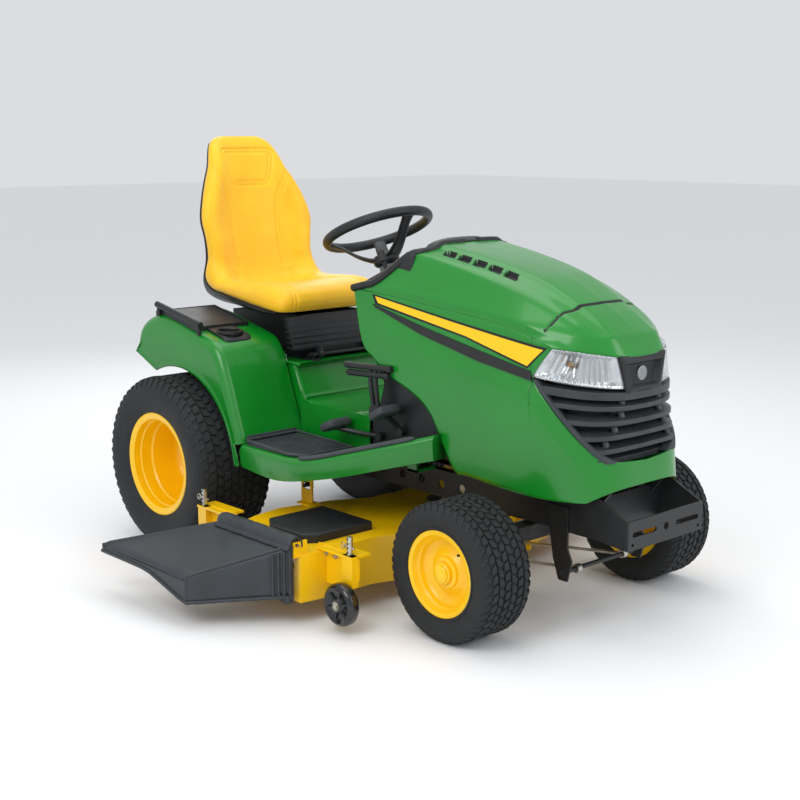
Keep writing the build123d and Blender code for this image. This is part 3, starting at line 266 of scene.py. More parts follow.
def makeMaterial(name, look):
    # look: colours, roughness and the pattern of the surface, its sizes in millimetres
    material = bpy.data.materials.new(name)
    material.use_nodes = True
    tree = material.node_tree
    tree.nodes.clear()
    spot = addNode(tree, "ShaderNodeTexCoord")
    stretched = addNode(tree, "ShaderNodeMapping", {"Scale": look.get("stretch", (1, 1, 1))},
                        {"Vector": spot.outputs["Object"]})
    patchScale = 1000 / look.get("patchSize", 120)
    patch = addNode(tree, "ShaderNodeTexNoise", {"Scale": patchScale, "Detail": 4.0, "Roughness": 0.6},
                    {"Vector": stretched.outputs[0]})
    grainScale = 1000 / look["grainSize"]
    if look.get("grain") == "leather":
        grain = addNode(tree, "ShaderNodeTexVoronoi", {"Scale": grainScale, "feature": "SMOOTH_F1"},
                        {"Vector": stretched.outputs[0]})
    else:
        grain = addNode(tree, "ShaderNodeTexNoise", {"Scale": grainScale, "Detail": 6.0, "Roughness": 0.65},
                        {"Vector": stretched.outputs[0]})
    height = grain.outputs[0]
    tone = addNode(tree, "ShaderNodeMapRange", {"From Min": 0.35, "From Max": 0.7},
                   {"Value": patch.outputs[0]})
    colour = addNode(tree, "ShaderNodeMix", {"data_type": "RGBA"}, {"Factor": tone.outputs[0]})
    colour.inputs[6].default_value = linear(look["colour"])
    colour.inputs[7].default_value = linear(look["second"])
    shade = colour.outputs[2]
    if "dust" in look:
        # dust or wear that settles in specks
        speck = addNode(tree, "ShaderNodeTexNoise", {"Scale": patchScale * 3.1, "Detail": 8.0,
                                                     "Roughness": 0.75},
                        {"Vector": spot.outputs["Object"]})
        amount = addNode(tree, "ShaderNodeMapRange",
                         {"From Min": 0.55, "From Max": 0.8, "To Max": look.get("dustAmount", 0.3)},
                         {"Value": speck.outputs[0]})
        dusty = addNode(tree, "ShaderNodeMix", {"data_type": "RGBA"}, {"Factor": amount.outputs[0]})
        tree.links.new(shade, dusty.inputs[6])
        dusty.inputs[7].default_value = linear(look["dust"])
        shade = dusty.outputs[2]
    rough = addNode(tree, "ShaderNodeMapRange",
                    {"To Min": look["roughness"] * 0.85, "To Max": min(1, look["roughness"] * 1.2)},
                    {"Value": patch.outputs[0]})
    bump = addNode(tree, "ShaderNodeBump", {"Strength": look.get("grainStrength", 0.3),
                                            "Distance": look.get("grainDepth", 0.1) / 1000},
                   {"Height": height})
    shader = addNode(tree, "ShaderNodeBsdfPrincipled",
                     {"Metallic": look.get("metallic", 0.0), "Coat Weight": look.get("coat", 0.0),
                      "Coat Roughness": look.get("coatRoughness", 0.05), "IOR": look.get("ior", 1.5),
                      "Transmission Weight": look.get("clear", 0.0),
                      "Sheen Weight": look.get("sheen", 0.0)},
                     {"Base Color": shade, "Roughness": rough.outputs[0], "Normal": bump.outputs[0]})
    addNode(tree, "ShaderNodeOutputMaterial", {}, {"Surface": shader.outputs[0]})
    return material


finishes = {
    # injection-moulded green panels: glossy, with the faint waviness of a large moulding
    "greenPanel": {"colour": "#057C1C", "second": "#088621", "roughness": 0.3, "coat": 0.35,
                   "coatRoughness": 0.08,
                   "patchSize": 340, "grainSize": 9, "grainDepth": 0.06, "grainStrength": 0.1},
    # yellow powder coat on pressed steel: glossy with a light orange peel
    "yellowEnamel": {"colour": "#FFCB00", "second": "#FBC300", "roughness": 0.34, "coat": 0.3,
                     "coatRoughness": 0.12,
                     "patchSize": 150, "grainSize": 3, "grainDepth": 0.08, "grainStrength": 0.16,
                     "dust": "#B98A1E", "dustAmount": 0.12},
    # stripe film laid on the hood: smooth and even
    "yellowFilm": {"colour": "#FFCC00", "second": "#FDC800", "roughness": 0.4, "patchSize": 200,
                   "grainSize": 6,
                   "grainDepth": 0.03, "grainStrength": 0.08},
    # embossed vinyl: a pebbled leather grain about 2.5 mm across, a soft shine
    "yellowVinyl": {"colour": "#FFC600", "second": "#F8BC00", "roughness": 0.46, "sheen": 0.15,
                    "patchSize": 90,
                    "grain": "leather", "grainSize": 3.2, "grainDepth": 0.35, "grainStrength": 0.4},
    # moulded black polypropylene with a spark-eroded grain, drawn coarse enough to show
    "blackPlastic": {"colour": "#15171A", "second": "#1D2023", "roughness": 0.48, "patchSize": 80,
                     "grainSize": 2.2,
                     "grainDepth": 0.16, "grainStrength": 0.35, "dust": "#4B4F52", "dustAmount": 0.15},
    # the darker smooth black of caps, valves and trim; in recesses (the hood's vent floors, the adjusting
    # holes of the gauge wheels and the sheet behind the grille) it is painted shade
    "blackAndPaintedShade": {"colour": "#0C0D0E", "second": "#141618", "roughness": 0.55, "patchSize": 60,
                  "grainSize": 2.5,
                  "grainDepth": 0.1, "grainStrength": 0.3},
    # grey-black moulding of the nose: satin, lighter where it catches light
    "greyMoulding": {"colour": "#2C3033", "second": "#363B3F", "roughness": 0.42, "patchSize": 70,
                     "grainSize": 2.4,
                     "grainDepth": 0.14, "grainStrength": 0.3},
    # powder-coated black steel: fine texture, satin
    "blackSteel": {"colour": "#151718", "second": "#1E2022", "roughness": 0.4, "patchSize": 60,
                   "grainSize": 1.8,
                   "grainDepth": 0.1, "grainStrength": 0.3, "dust": "#55504A", "dustAmount": 0.2},
    # vulcanised rubber: matt, greyed by dust
    "tyreRubber": {"colour": "#191B1D", "second": "#222527", "roughness": 0.74, "patchSize": 45,
                   "grainSize": 1.6,
                   "grainDepth": 0.2, "grainStrength": 0.4, "dust": "#5B5D5C", "dustAmount": 0.35},
    "matRubber": {"colour": "#34393C", "second": "#42484C", "roughness": 0.66, "patchSize": 40,
                  "grainSize": 2,
                  "grainDepth": 0.2, "grainStrength": 0.4, "dust": "#6B6E6B", "dustAmount": 0.2},
    # clear polycarbonate lens
    "clearLens": {"colour": "#F6F8F9", "second": "#FFFFFF", "roughness": 0.05, "ior": 1.58, "clear": 1.0,
                  "patchSize": 200, "grainSize": 12, "grainDepth": 0.02, "grainStrength": 0.1},
    # vacuum-coated reflector behind it
    "silverReflector": {"colour": "#E9ECEE", "second": "#CDD2D6", "roughness": 0.22, "metallic": 0.85,
                        "patchSize": 60, "grainSize": 5, "grainDepth": 0.1, "grainStrength": 0.3},
    # machined and die-cast aluminium: bright, slightly rough
    "castAluminium": {"colour": "#A6AAAD", "second": "#8C9093", "roughness": 0.45, "metallic": 1.0,
                      "patchSize": 30,
                      "grainSize": 1.5, "grainDepth": 0.2, "grainStrength": 0.5},
    "castIron": {"colour": "#4B4A48", "second": "#3B3A39", "roughness": 0.6, "metallic": 0.7,
                 "patchSize": 30,
                 "grainSize": 1.4, "grainDepth": 0.3, "grainStrength": 0.5, "dust": "#6A5A48",
                 "dustAmount": 0.25},
    # zinc-plated steel of bolts, pins and rods: bright with a faint drawn grain
    "platedSteel": {"colour": "#C9C6BC", "second": "#AFAA9B", "roughness": 0.3, "metallic": 1.0,
                    "patchSize": 15,
                    "grainSize": 1.2, "grainDepth": 0.06, "grainStrength": 0.3, "stretch": (0.2, 1, 1)},
    # slate-grey polypropylene of the chute: a coarse grain, dusty
    "slatePlastic": {"colour": "#2A2F33", "second": "#343A3F", "roughness": 0.5, "patchSize": 90,
                     "grainSize": 2.6,
                     "grainDepth": 0.2, "grainStrength": 0.35, "dust": "#5C6062", "dustAmount": 0.2},
    # high-gloss black of the small moulded wheels
    "glossBlack": {"colour": "#101214", "second": "#171A1C", "roughness": 0.22, "coat": 0.4, "patchSize": 60,
                   "grainSize": 4, "grainDepth": 0.05, "grainStrength": 0.15},
    "greyPolymer": {"colour": "#565B5E", "second": "#666B6E", "roughness": 0.5, "patchSize": 60,
                    "grainSize": 2.2,
                    "grainDepth": 0.12, "grainStrength": 0.3},
    # amber bulb seen through the lamp
    "amberBulb": {"colour": "#C98A2A", "second": "#A8701C", "roughness": 0.2, "patchSize": 20,
                  "grainSize": 4,
                  "grainDepth": 0.05, "grainStrength": 0.1, "coat": 0.5},
}
finish = {name: makeMaterial(name, look) for name, look in finishes.items()}

# carried-over parts take the finish of their material slot
slotFinish = {"green_moulding": "greenPanel", "yellow_enamel": "yellowEnamel", "yellow_vinyl": "yellowVinyl",
              "black_plastic": "blackPlastic", "black_steel": "blackSteel", "tyre_rubber": "tyreRubber",
              "mat_rubber": "matRubber", "clear_lens": "clearLens", "cast_aluminium": "castAluminium",
              "cast_iron": "castIron", "plated_steel": "platedSteel", "grey_polymer": "greyPolymer"}
for part in frame["record"]["subparts"]:
    node = frame["nodes"][part["node"]]
    node.data.materials.clear()
    node.data.materials.append(finish[slotFinish[part["material_slot"]]])
print("materials ready:", len(finish))


# ---- camera, floor and light

camera = {"spot": (3976.24, -3075.84, 1423.63), "yaw": 47.697, "pitch": 11.026, "lens": 62.08, "sensor": 36}
yaw, pitch = math.radians(camera["yaw"]), math.radians(camera["pitch"])
eye = bpy.data.objects.new("eye", bpy.data.cameras.new("eye"))
bpy.context.scene.collection.objects.link(eye)
eye.data.lens, eye.data.sensor_width = camera["lens"], camera["sensor"]
eye.data.clip_start, eye.data.clip_end = 0.1, 60
eye.location = place(*camera["spot"])
eye.rotation_euler = (math.pi / 2 - pitch, 0, yaw)
bpy.context.scene.camera = eye

bpy.context.scene.view_settings.view_transform = "Standard"
studio = {"floor": "#F4F5F6", "sky": "#F2F4F7", "skyStrength": 0.8}
floorMesh = bpy.data.meshes.new("studio_floor")
floorMesh.from_pydata([(-30, -30, 0), (30, -30, 0), (30, 30, 0), (-30, 30, 0)], [], [[0, 1, 2, 3]])
floor = bpy.data.objects.new("studio_floor", floorMesh)
bpy.context.scene.collection.objects.link(floor)
floorFinish = bpy.data.materials.new("matt floor paper")
floorFinish.use_nodes = True
floorShader = floorFinish.node_tree.nodes["Principled BSDF"]
floorShader.inputs["Base Color"].default_value = linear(studio["floor"])
floorShader.inputs["Roughness"].default_value = 0.9
floorMesh.materials.append(floorFinish)

world = bpy.data.worlds.new("studio")
world.use_nodes = True
world.node_tree.nodes["Background"].inputs["Color"].default_value = linear(studio["sky"])
world.node_tree.nodes["Background"].inputs["Strength"].default_value = studio["skyStrength"]
bpy.context.scene.world = world

# soft boxes: where each stands, what it looks at, its size and power
lamps = {
    "key": {"spot": (1800, -3600, 3400), "aim": (600, 0, 500), "size": 2.6, "power": 68},
    "side": {"spot": (4300, 900, 2200), "aim": (900, 0, 600), "size": 2.4, "power": 32},
    "top": {"spot": (300, 0, 4200), "aim": (500, 0, 0), "size": 3.4, "power": 42},
    "rear": {"spot": (-2600, 1600, 2600), "aim": (300, 0, 700), "size": 2.2, "power": 25},
}
for name, lamp in lamps.items():
    light = bpy.data.objects.new(name, bpy.data.lights.new(name, "AREA"))
    bpy.context.scene.collection.objects.link(light)
    light.data.shape, light.data.size, light.data.energy = "DISK", lamp["size"], lamp["power"]
    light.location = place(*lamp["spot"])
    aim = place(*lamp["aim"]) - light.location
    light.rotation_euler = aim.to_track_quat("-Z", "Y").to_euler()
print("stage set")


# ---- wheels

def addBlockOn(shape, corners, centre, outer, rise, radiusAt, finish):
    # one tread block: corners are (across, angle), its foot on the tyre and its top rise above
    low, high = [], []
    middleU = sum(c[0] for c in corners) / len(corners)
    middleA = sum(c[1] for c in corners) / len(corners)
    for u, a in corners:
        for store, up, shrink in ((low, -1.5, 1.0), (high, rise, 0.86)):
            uu, aa = middleU + (u - middleU) * shrink, middleA + (a - middleA) * shrink
            r = radiusAt(uu) + up
            store.append((centre[0] + r * math.sin(aa), centre[1] + outer * uu,
                          centre[2] + r * math.cos(aa)))
    n = len(corners)
    faces = [list(range(n, 2 * n))] + [[i, (i + 1) % n, n + (i + 1) % n, n + i] for i in range(n)]
    addFaces(shape, low + high, faces, finish)


def makeTyre(name, body, centre, outer, sizes):
    # outer is +1 or -1, the way the wheel faces
    r, half, bead, rise = sizes["radius"], sizes["width"] / 2, sizes["bead"], sizes["tread"]
    carcass = [(-half * .8, bead + 2), (-half * .84, bead + 12), (-half * .93, bead + 30),
               (-half * .985, r * .77),
               (-half * .995, r * .84), (-half * .97, r * .895), (-half * .92, r * .935),
               (-half * .82, r * .966),
               (-half * .68, r * .983), (-half * .45, r - rise - .6), (0, r - rise)]
    profile = carcass + [(-u, q) for u, q in reversed(carcass[:-1])]
    inner = [(half * .74, bead + 4), (half * .9, r * .78), (half * .86, r * .9), (half * .5, r * .94)]
    inner += [(-u, q) for u, q in reversed(inner)]
    shape = newShape()
    addTurned(shape, profile + inner, centre, "y", sizes["sides"], 0, outer)
    # moulded rings on the wall by the rim
    for ring in (0.3, 0.62):
        u, q = half * (.87 + .1 * ring), bead + (r * .84 - bead) * ring
        band = [(u, q), (u + 3, q + 2), (u + 3, q + 6), (u, q + 8)]
        for way in (1, -1):
            addTurned(shape, band, centre, "y", sizes["sides"], 0, outer * way)
    crown = sorted((u, q) for u, q in profile if q > r * .7)

    def radiusAt(u):
        return straightValue(u, crown)

    pitch = 2 * math.pi / sizes["pitches"]
    rows, reach = sizes["rows"], half * .80
    step = 2 * reach / rows
    for n in range(sizes["pitches"]):
        for row in range(rows):
            u0 = -reach + step * row
            shift = (0.5 if row % 2 else 0) * pitch
            lean = (0.22 if (row % 2) else -0.22) * pitch
            a0 = n * pitch + shift
            gap, long = step * 0.13, pitch * 0.42
            corners = [(u0 + gap, a0 - long - lean), (u0 + step - gap, a0 - long + lean),
                       (u0 + step - gap * .4, a0 + lean), (u0 + step - gap, a0 + long + lean * .4),
                       (u0 + gap, a0 + long - lean * .4), (u0 + gap * .4, a0 - lean)]
            addBlockOn(shape, corners, centre, outer, rise, radiusAt, 0)
        # slanting lugs that wrap over each shoulder
        for way in (1, -1):
            a0 = n * pitch + (0.25 if way > 0 else 0.75) * pitch
            for k, (uA, uB, turn) in enumerate(((.8, .905, 0.0), (.89, .975, 0.32))):
                corners = [(way * half * uA, a0 + pitch * (turn - .3)),
                           (way * half * uB, a0 + pitch * (turn + .02)),
                           (way * half * uB, a0 + pitch * (turn + .42)),
                           (way * half * uA, a0 + pitch * (turn + .26))]
                addBlockOn(shape, corners if way > 0 else corners[::-1], centre, outer, rise * .8,
                           radiusAt, 0)
    return makePiece(name + "_treaded", shape, body, [finish["tyreRubber"]], [name], sharp=30)


rearWheel = {"radius": 300, "width": 302, "bead": 160, "tread": 7, "sides": 128, "pitches": 54, "rows": 8,
             "y": 455, "lipR": 177, "seat": 124, "hub": -50, "bolts": 5, "boltCircleR": 52, "boltSize": 9.5}
frontWheel = {"radius": 203, "width": 186, "bead": 110, "tread": 6, "sides": 112, "pitches": 46, "rows": 6,
              "y": 420, "lipR": 125, "seat": 76, "hubHalf": 60}


def rearRim(side, body, name):
    lipR, seat, hub = rearWheel["lipR"], rearWheel["seat"], rearWheel["hub"]
    outline = [(-seat - 7, lipR - 3), (-seat - 9, lipR), (-seat - 3, lipR + 1), (-seat, lipR - 5),
               (-seat, 160),
               (seat, 160), (seat, lipR - 6), (seat + 3, lipR + 1), (seat + 8, lipR + 1),
               (seat + 10, lipR - 3),
               (seat + 7, 160), (seat + 3, 155), (104, 153), (100, 149), (64, 146), (58, 141), (30, 139),
               (-18, 137), (-30, 134), (-42, 126), (-50, 116), (-53, 100), (-52, 78), (-47, 70), (-46, 58),
               (-50, 50), (-52, 34), (-62, 34), (-62, 118), (-48, 138), (-30, 143), (50, 147),
               (-seat - 5, 152)]
    centre = (0, side * rearWheel["y"], rearWheel["radius"])
    shape = newShape()
    addTurned(shape, outline, centre, "y", 128, 0, side)
    addTurned(shape, [(hub - 4, .01), (hub - 4, 34), (hub + 26, 32), (hub + 30, 28), (hub + 30, .01)],
              centre, "y",
              40, 0, side)
    addTurned(shape, [(hub + 29, .01), (hub + 29, 17.5), (hub + 36, 16), (hub + 36, .01)], centre, "y",
              32, 1, side)
    for n in range(rearWheel["bolts"]):
        a = math.radians(360 / rearWheel["bolts"] * n + 10)
        circle = rearWheel["boltCircleR"]
        spot = (centre[0] + circle * math.cos(a), centre[1] + side * (hub + 1),
                centre[2] + circle * math.sin(a))
        addBolt(shape, spot, "y", rearWheel["boltSize"], side, 1)
    # valve
    addTube(shape, [(118, centre[1] + side * 20, 372), (116, centre[1] + side * 52, 370)], 4, 10, 2)
    return makePiece(name, shape, body, [finish["yellowEnamel"], finish["platedSteel"], finish["blackAndPaintedShade"]],
                     [f"rear_rim_{'left' if side > 0 else 'right'}"], sharp=28)


def frontRim(side, body, name):
    lipR, seat, hubHalf = frontWheel["lipR"], frontWheel["seat"], frontWheel["hubHalf"]
    outline = [(-seat - 5, lipR - 3), (-seat - 7, lipR), (-seat - 2, lipR + 1), (-seat, 112), (seat, 112),
               (seat + 2, lipR + 1), (seat + 7, lipR + 1), (seat + 9, lipR - 3), (seat + 6, 112),
               (seat - 4, 108),
               (seat - 12, 105), (seat - 16, 101), (50, 99), (44, 95), (38, 84), (36, 72), (40, 62),
               (48, 55),
               (52, 48), (60, 45), (62, 40), (62, 33), (28, 33), (26, 66), (34, 96), (seat - 18, 105),
               (-seat - 3, 107)]
    centre = (wheelbase, side * frontWheel["y"], frontWheel["radius"])
    shape = newShape()
    addTurned(shape, outline, centre, "y", 112, 0, side)
    # stepped hub with a domed grease cap
    cap = [(58, .01), (58, 33), (72, 32), (75, 28), (80, 27), (84, 22), (87, 12), (88, .01)]
    addTurned(shape, cap, centre, "y", 48, 0, side)
    sleeve = [(-hubHalf, 20), (-hubHalf, 31), (hubHalf, 31), (hubHalf, 20)]
    addTurned(shape, sleeve, centre, "y", 32, 0, side)
    # valve
    addTube(shape, [(wheelbase + 62, centre[1] + side * 50, 268),
                    (wheelbase + 66, centre[1] + side * 74, 272)],
            3.6, 10, 1)
    return makePiece(name, shape, body, [finish["yellowEnamel"], finish["blackAndPaintedShade"]],
                     [f"front_rim_{'left' if side > 0 else 'right'}"], sharp=28)


for side, word in ((-1, "right"), (1, "left")):
    for end, ahead, sizes in (("rear", 0, rearWheel), ("front", wheelbase, frontWheel)):
        makeTyre(f"{end}_tyre_{word}", f"{end}_wheel_{word}", (ahead, side * sizes["y"], sizes["radius"]),
                 side, sizes)
    rearRim(side, f"rear_wheel_{word}", f"rear_wheel_disc_{word}")
    frontRim(side, f"front_wheel_{word}", f"front_wheel_disc_{word}")
print("wheels made")


# ---- hood

# along the hood: distance ahead of the rear axle, then (half width, height) of each long line
hood = {"centre": [(600, 1112), (930, 1087), (1295, 1017), (1488, 930), (1580, 862), (1625, 815)],
        "bulgeY": [(600, 140), (930, 138), (1295, 122), (1488, 105), (1580, 92), (1640, 80)],
        "bulgeZ": [(600, 1103), (930, 1078), (1295, 1007), (1488, 918), (1580, 850), (1625, 806)],
        "shoulderY": [(600, 208), (930, 203), (1295, 190), (1488, 170), (1580, 152), (1640, 140)],
        "shoulderZ": [(600, 1072), (930, 1048), (1295, 972), (1488, 893), (1580, 833), (1625, 800)],
        "creaseY": [(600, 246), (930, 242), (1295, 237), (1470, 229), (1580, 222)],
        "creaseZ": [(600, 945), (647, 937), (930, 915), (1295, 879), (1470, 838), (1640, 800)],
        "sillY": [(600, 246), (1295, 241), (1580, 237)],
        "straightTo": 1400, "noseX": [(404, 1643), (450, 1640), (760, 1616), (880, 1606)],
        "boxiness": [(404, 4.6), (450, 4.3), (750, 2.8), (860, 2.6)],
        "chinZ": 404, "lampX": 1470, "wallSwell": 5, "vents": 5, "ventStart": 962, "ventStep": 62,
        "ventLong": 46, "ventY": (141, 172), "ventDepth": 13, "ventLean": .052, "ventSlant": .5,
        "seamX": 1436, "seamBow": 26, "seamHalf": 3.2, "seamDepth": 3, "band": 27, "skin": 3.5}


def hoodLine(name, x):
    return blendValue(x, hood[name])


def topSection(x, a):
    # point of the top skin, a from 0 on the centre line to 1 on the crease
    knots = [(-.01, 0, hoodLine("centre", x)), (.36, hoodLine("bulgeY", x) - 16, hoodLine("bulgeZ", x) + 5),
             (.41, hoodLine("bulgeY", x) + 2, hoodLine("bulgeZ", x) - 6),
             (.64, hoodLine("shoulderY", x) - 12, hoodLine("shoulderZ", x) + 8),
             (.70, hoodLine("shoulderY", x) + 3, hoodLine("shoulderZ", x) - 8),
             (.87, hoodLine("creaseY", x) - 4, hoodLine("creaseZ", x) + 31),
             (.90, hoodLine("creaseY", x) - .5, hoodLine("creaseZ", x) + 24),
             (1, hoodLine("creaseY", x), hoodLine("creaseZ", x))]
    y = blendValue(a, [(k, v) for k, v, _ in knots])
    z = blendValue(a, [(k, v) for k, _, v in knots])
    return y, z


def upWall(x, z):
    # share of the way up the side wall, 0 at the chin and 1 on the crease
    return min(1, max(0, (z - hood["chinZ"]) / (hoodLine("creaseZ", x) - hood["chinZ"])))


def wallAt(x, z, out=0.0):
    # half width of the side wall at that height, wrapping round the nose
    t = upWall(min(x, hood["lampX"]), z)
    y = hoodLine("sillY", x) * (1 - t) + hoodLine("creaseY", min(x, hood["lampX"])) * t
    y += hood["wallSwell"] * math.sin(math.pi * t)
    reach = straightValue(z, hood["noseX"]) - hood["straightTo"]
    u = min(1, max(0, (x - hood["straightTo"]) / reach))
    return (y + out) * max(0, 1 - u * u) ** (1 / straightValue(z, hood["boxiness"]))


def noseAt(turn, z, out=0.0):
    # round the nose: turn 0 at the side, 1 at the middle of the front
    reach = straightValue(z, hood["noseX"]) - hood["straightTo"] + out
    angle = math.pi / 2 * turn
    u = math.sin(angle)
    t, rear = upWall(hood["lampX"], z), hood["straightTo"]
    y = hoodLine("sillY", rear) * (1 - t) + hoodLine("creaseY", rear) * t
    y += hood["wallSwell"] * math.sin(math.pi * t) + out
    return rear + reach * u, y * max(0, 1 - u * u) ** (1 / straightValue(z, hood["boxiness"]))


# top skin
lipY = [(0, 0), (.2, 48), (.45, 104), (.75, 172), (1, 228)]
lipX = [(0, 1617), (.2, 1615), (.45, 1602), (.75, 1537), (1, 1470)]
lipZ = [(0, 808), (.2, 809), (.45, 812), (.75, 823), (1, 836)]
rearX = [(0, 929), (.41, 921), (.66, 884), (1, 650)]
ventStarts = [hood["ventStart"] + hood["ventStep"] * n for n in range(hood["vents"])]
ventRows = [(start, start + hood["ventLong"]) for start in ventStarts]


def topPoint(b, a, side):
    xRear, xFront = blendValue(a, rearX), blendValue(a, lipX)
    x = xRear + (xFront - xRear) * b
    y, z = topSection(x, a)
    # the last rows turn down into the upright band over the lamps
    band = hood["band"] * (1 - min(1, max(0, (a - .75) / .25)) ** 2)
    pull = min(1, max(0, (b - .80) / .16)) ** 2
    endY, endZ = topSection(xFront, a)
    y += pull * (blendValue(a, lipY) - endY)
    z += pull * (blendValue(a, lipZ) + band - endZ)
    down = max(0, (b - .96) / .04)
    x -= 7 * pull * (1 - down) * (1 - a)
    z -= band * down
    return x, y * side, z


def isVent(x, y):
    lean = (x - hood["ventStart"]) * hood["ventLean"]
    slant = (abs(y) - hood["ventY"][0]) * hood["ventSlant"]
    inY = hood["ventY"][0] - lean < abs(y) < hood["ventY"][1] - lean
    return inY and any(low + slant < x < high + slant for low, high in ventRows)


def isSeam(x, y):
    bow = hood["seamBow"] * (1 - (y / 200) ** 2)
    return abs(x - hood["seamX"] - bow) < hood["seamHalf"] and abs(y) < 216


def makeHoodTop():
    shape = newShape()
    along, across = 190, 72
    rows, marks = [], []
    for i in range(along + 1):
        row, mark = [], []
        for j in range(-across, across + 1):
            x, y, z = topPoint(i / along, abs(j) / across, 1 if j >= 0 else -1)
            dark = 0
            # painted shade: the faces inside the recessed vents take the black finish; the seam groove takes
            # it as a dark joint
            if isVent(x, y):
                z -= hood["ventDepth"]
                dark = 1
            if isSeam(x, y):
                z -= hood["seamDepth"]
                dark = 1
            row.append((x, y, z))
            mark.append(dark)
        rows.append(row)
        marks.append(mark)

    def pick(i, j):
        return 1 if marks[i][j] + marks[i + 1][j] + marks[i][j + 1] + marks[i + 1][j + 1] >= 2 else 0

    addGrid(shape, rows, pick=pick)
    return makePiece("hood_top_skin", shape, "hood", [finish["greenPanel"], finish["blackAndPaintedShade"]],
                     ["hood_top"], sharp=38, thick=hood["skin"])


makeHoodTop()

# side panels and chin, one moulding
sillLine = [(650, 930), (690, 773), (747, 722), (810, 685), (1001, 593), (1111, 425), (1160, 418),
            (1372, 404),
            (1580, 408)]


def panelOut(x, z):
    # the panel swells below the dark blade, and folds in along a line beside the grille
    blade = straightValue(x, [(735, 880), (1000, 800), (1200, 762), (1404, 740)])
    swell = 7 * min(1, max(0, (blade - z) / 34)) * min(1, max(0, (x - 730) / 90))
    fold = max(0, x - (diagonalX(z) - 52)) if z < 760 else 0
    return swell - fold * .14


def diagonalX(z):
    # where the green side panel ends, ahead of the lamp and the grille
    return straightValue(z, [(520, 1611), (742, 1408), (750, 1406), (830, 1466)])


def makeHoodSides():
    shape = newShape()
    up = 34

    def bottomAt(x):
        return blendValue(x, sillLine) + 40 * max(0, (x - 1580) / 60)

    def topAt(x, y):
        if x <= 1400:
            return max(bottomAt(x) + .5, hoodLine("creaseZ", x))
        if x < 1408:
            return straightValue(x, [(1400, hoodLine("creaseZ", 1400)), (1408, 742)])
        if x < 1613:
            return 742 - (x - 1408) * (742 - 524) / (1613 - 1408)
        return 524 - 12 * (1 - abs(y) / 180)

    def column(x, y, spot):
        low = bottomAt(x)
        high = max(topAt(x, y), low + .5)
        return [spot(low + (high - low) * k / up) for k in range(up + 1)]

    xs = [650 + 10 * n for n in range(75)] + [1396]
    turns = [n / 48 for n in range(49)]
    rows = []
    for side in (1, -1):
        part = [column(x, 240, lambda z: (x, side * wallAt(x, z, panelOut(x, z)), z)) for x in xs]
        for turn in turns:
            x, y = noseAt(turn, 500)

            def spot(z, turn=turn):
                px, py = noseAt(turn, z)
                py = noseAt(turn, z, panelOut(px, z))[1] if turn < .999 else 0
                return px, side * py, z

            part.append(column(x, y, spot))
        rows += part if side > 0 else part[::-1][1:]
    addGrid(shape, rows)
    # the corner between the stripe and the lamp
    for side in (1, -1):
        rows = []
        for n in range(15):
            x = 1400 + 68 * n / 14
            low = straightValue(x, [(1400, 742), (1408, 750), (1467, 833)])
            high = max(hoodLine("creaseZ", x), low + .4)
            rows.append([(x, side * wallAt(x, low + (high - low) * k / 8), low + (high - low) * k / 8)
                         for k in range(9)])
        addGrid(shape, rows if side > 0 else rows[::-1])
    return makePiece("hood_side_skin", shape, "hood", [finish["greenPanel"]],
                     ["hood_side_panels"],
                     sharp=50, thick=hood["skin"])


makeHoodSides()


def wallStrip(shape, upper, lower, out, finishNumber, steps=60, deep=2.5):
    # a raised band on the side wall between two lines given as (x, z), on both sides
    for side in (-1, 1):
        rows = []
        for n in range(steps + 1):
            t = n / steps
            top = [straightValue(t, [(i / (len(upper) - 1), p[k]) for i,
                                     p in enumerate(upper)]) for k in (0, 1)]
            low = [straightValue(t, [(i / (len(lower) - 1), p[k]) for i,
                                     p in enumerate(lower)]) for k in (0, 1)]
            row = []
            for k, o in ((0, out - deep), (0, out), (.25, out), (.5, out), (.75, out), (1, out),
                         (1, out - deep)):
                x, z = top[0] + (low[0] - top[0]) * k, top[1] + (low[1] - top[1]) * k
                row.append((x, side * wallAt(x, z, o), z))
            rows.append(row)
        rows = rows if side > 0 else rows[::-1]
        addGrid(shape, rows, finishNumber)
        for end in (rows[0], rows[-1]):
            addFaces(shape, end, [list(range(len(end)))], finishNumber)


# upper and lower line, how far it stands out, its finish and how deep it goes: black surround, yellow
# film on it, and the dark blade under it that widens towards the grille
stripe = {"surround": ([(738, 924), (1100, 876), (1452, 832)], [(752, 893), (1150, 829), (1389, 769)],
                       1.2, 1, 2.5),
          "film": ([(752, 918), (1100, 870), (1440, 826)], [(766, 898), (1150, 835), (1389, 776)], 2.0, 0,
                   1),
          "blade": ([(742, 893), (960, 846), (1200, 800), (1404, 762)],
                    [(752, 884), (960, 820), (1200, 768), (1408, 736)], 3.2, 2, 4)}


def makeStripe():
    shape = newShape()
    for upper, lower, out, finishNumber, deep in stripe.values():
        wallStrip(shape, upper, lower, out, finishNumber, deep=deep)
    return makePiece("hood_stripe", shape, "hood", [finish["yellowFilm"], finish["blackAndPaintedShade"],
                                                    finish["blackPlastic"]],
                     ["hood_trim"], sharp=30)


makeStripe()

# nose: surround, louvres, lamps and badge plate
nose = {"cornerY": [(508, 186), (520, 176), (559, 144), (599, 112), (639, 76), (690, 73), (720, 79),
                    (812, 104)],
        "louvreEndZ": (676, 630, 585, 549), "louvreMiddleZ": (666, 627, 588, 549),
        "postZ": (681, 644, 606, 566, 531),
        # how far behind the nose the black sheet of painted shade stands
        "shadeSheetInset": 46}


def turnAt(x, z):
    reach = straightValue(z, hood["noseX"]) - hood["straightTo"]
    return math.asin(min(1, max(0, (x - hood["straightTo"]) / reach))) / (math.pi / 2)


def cornerTurn(z):
    low, high = 0.3, 1
    want = straightValue(z, nose["cornerY"])
    for _ in range(24):
        middle = (low + high) / 2
        low, high = (middle, high) if noseAt(middle, z)[1] > want else (low, middle)
    return low


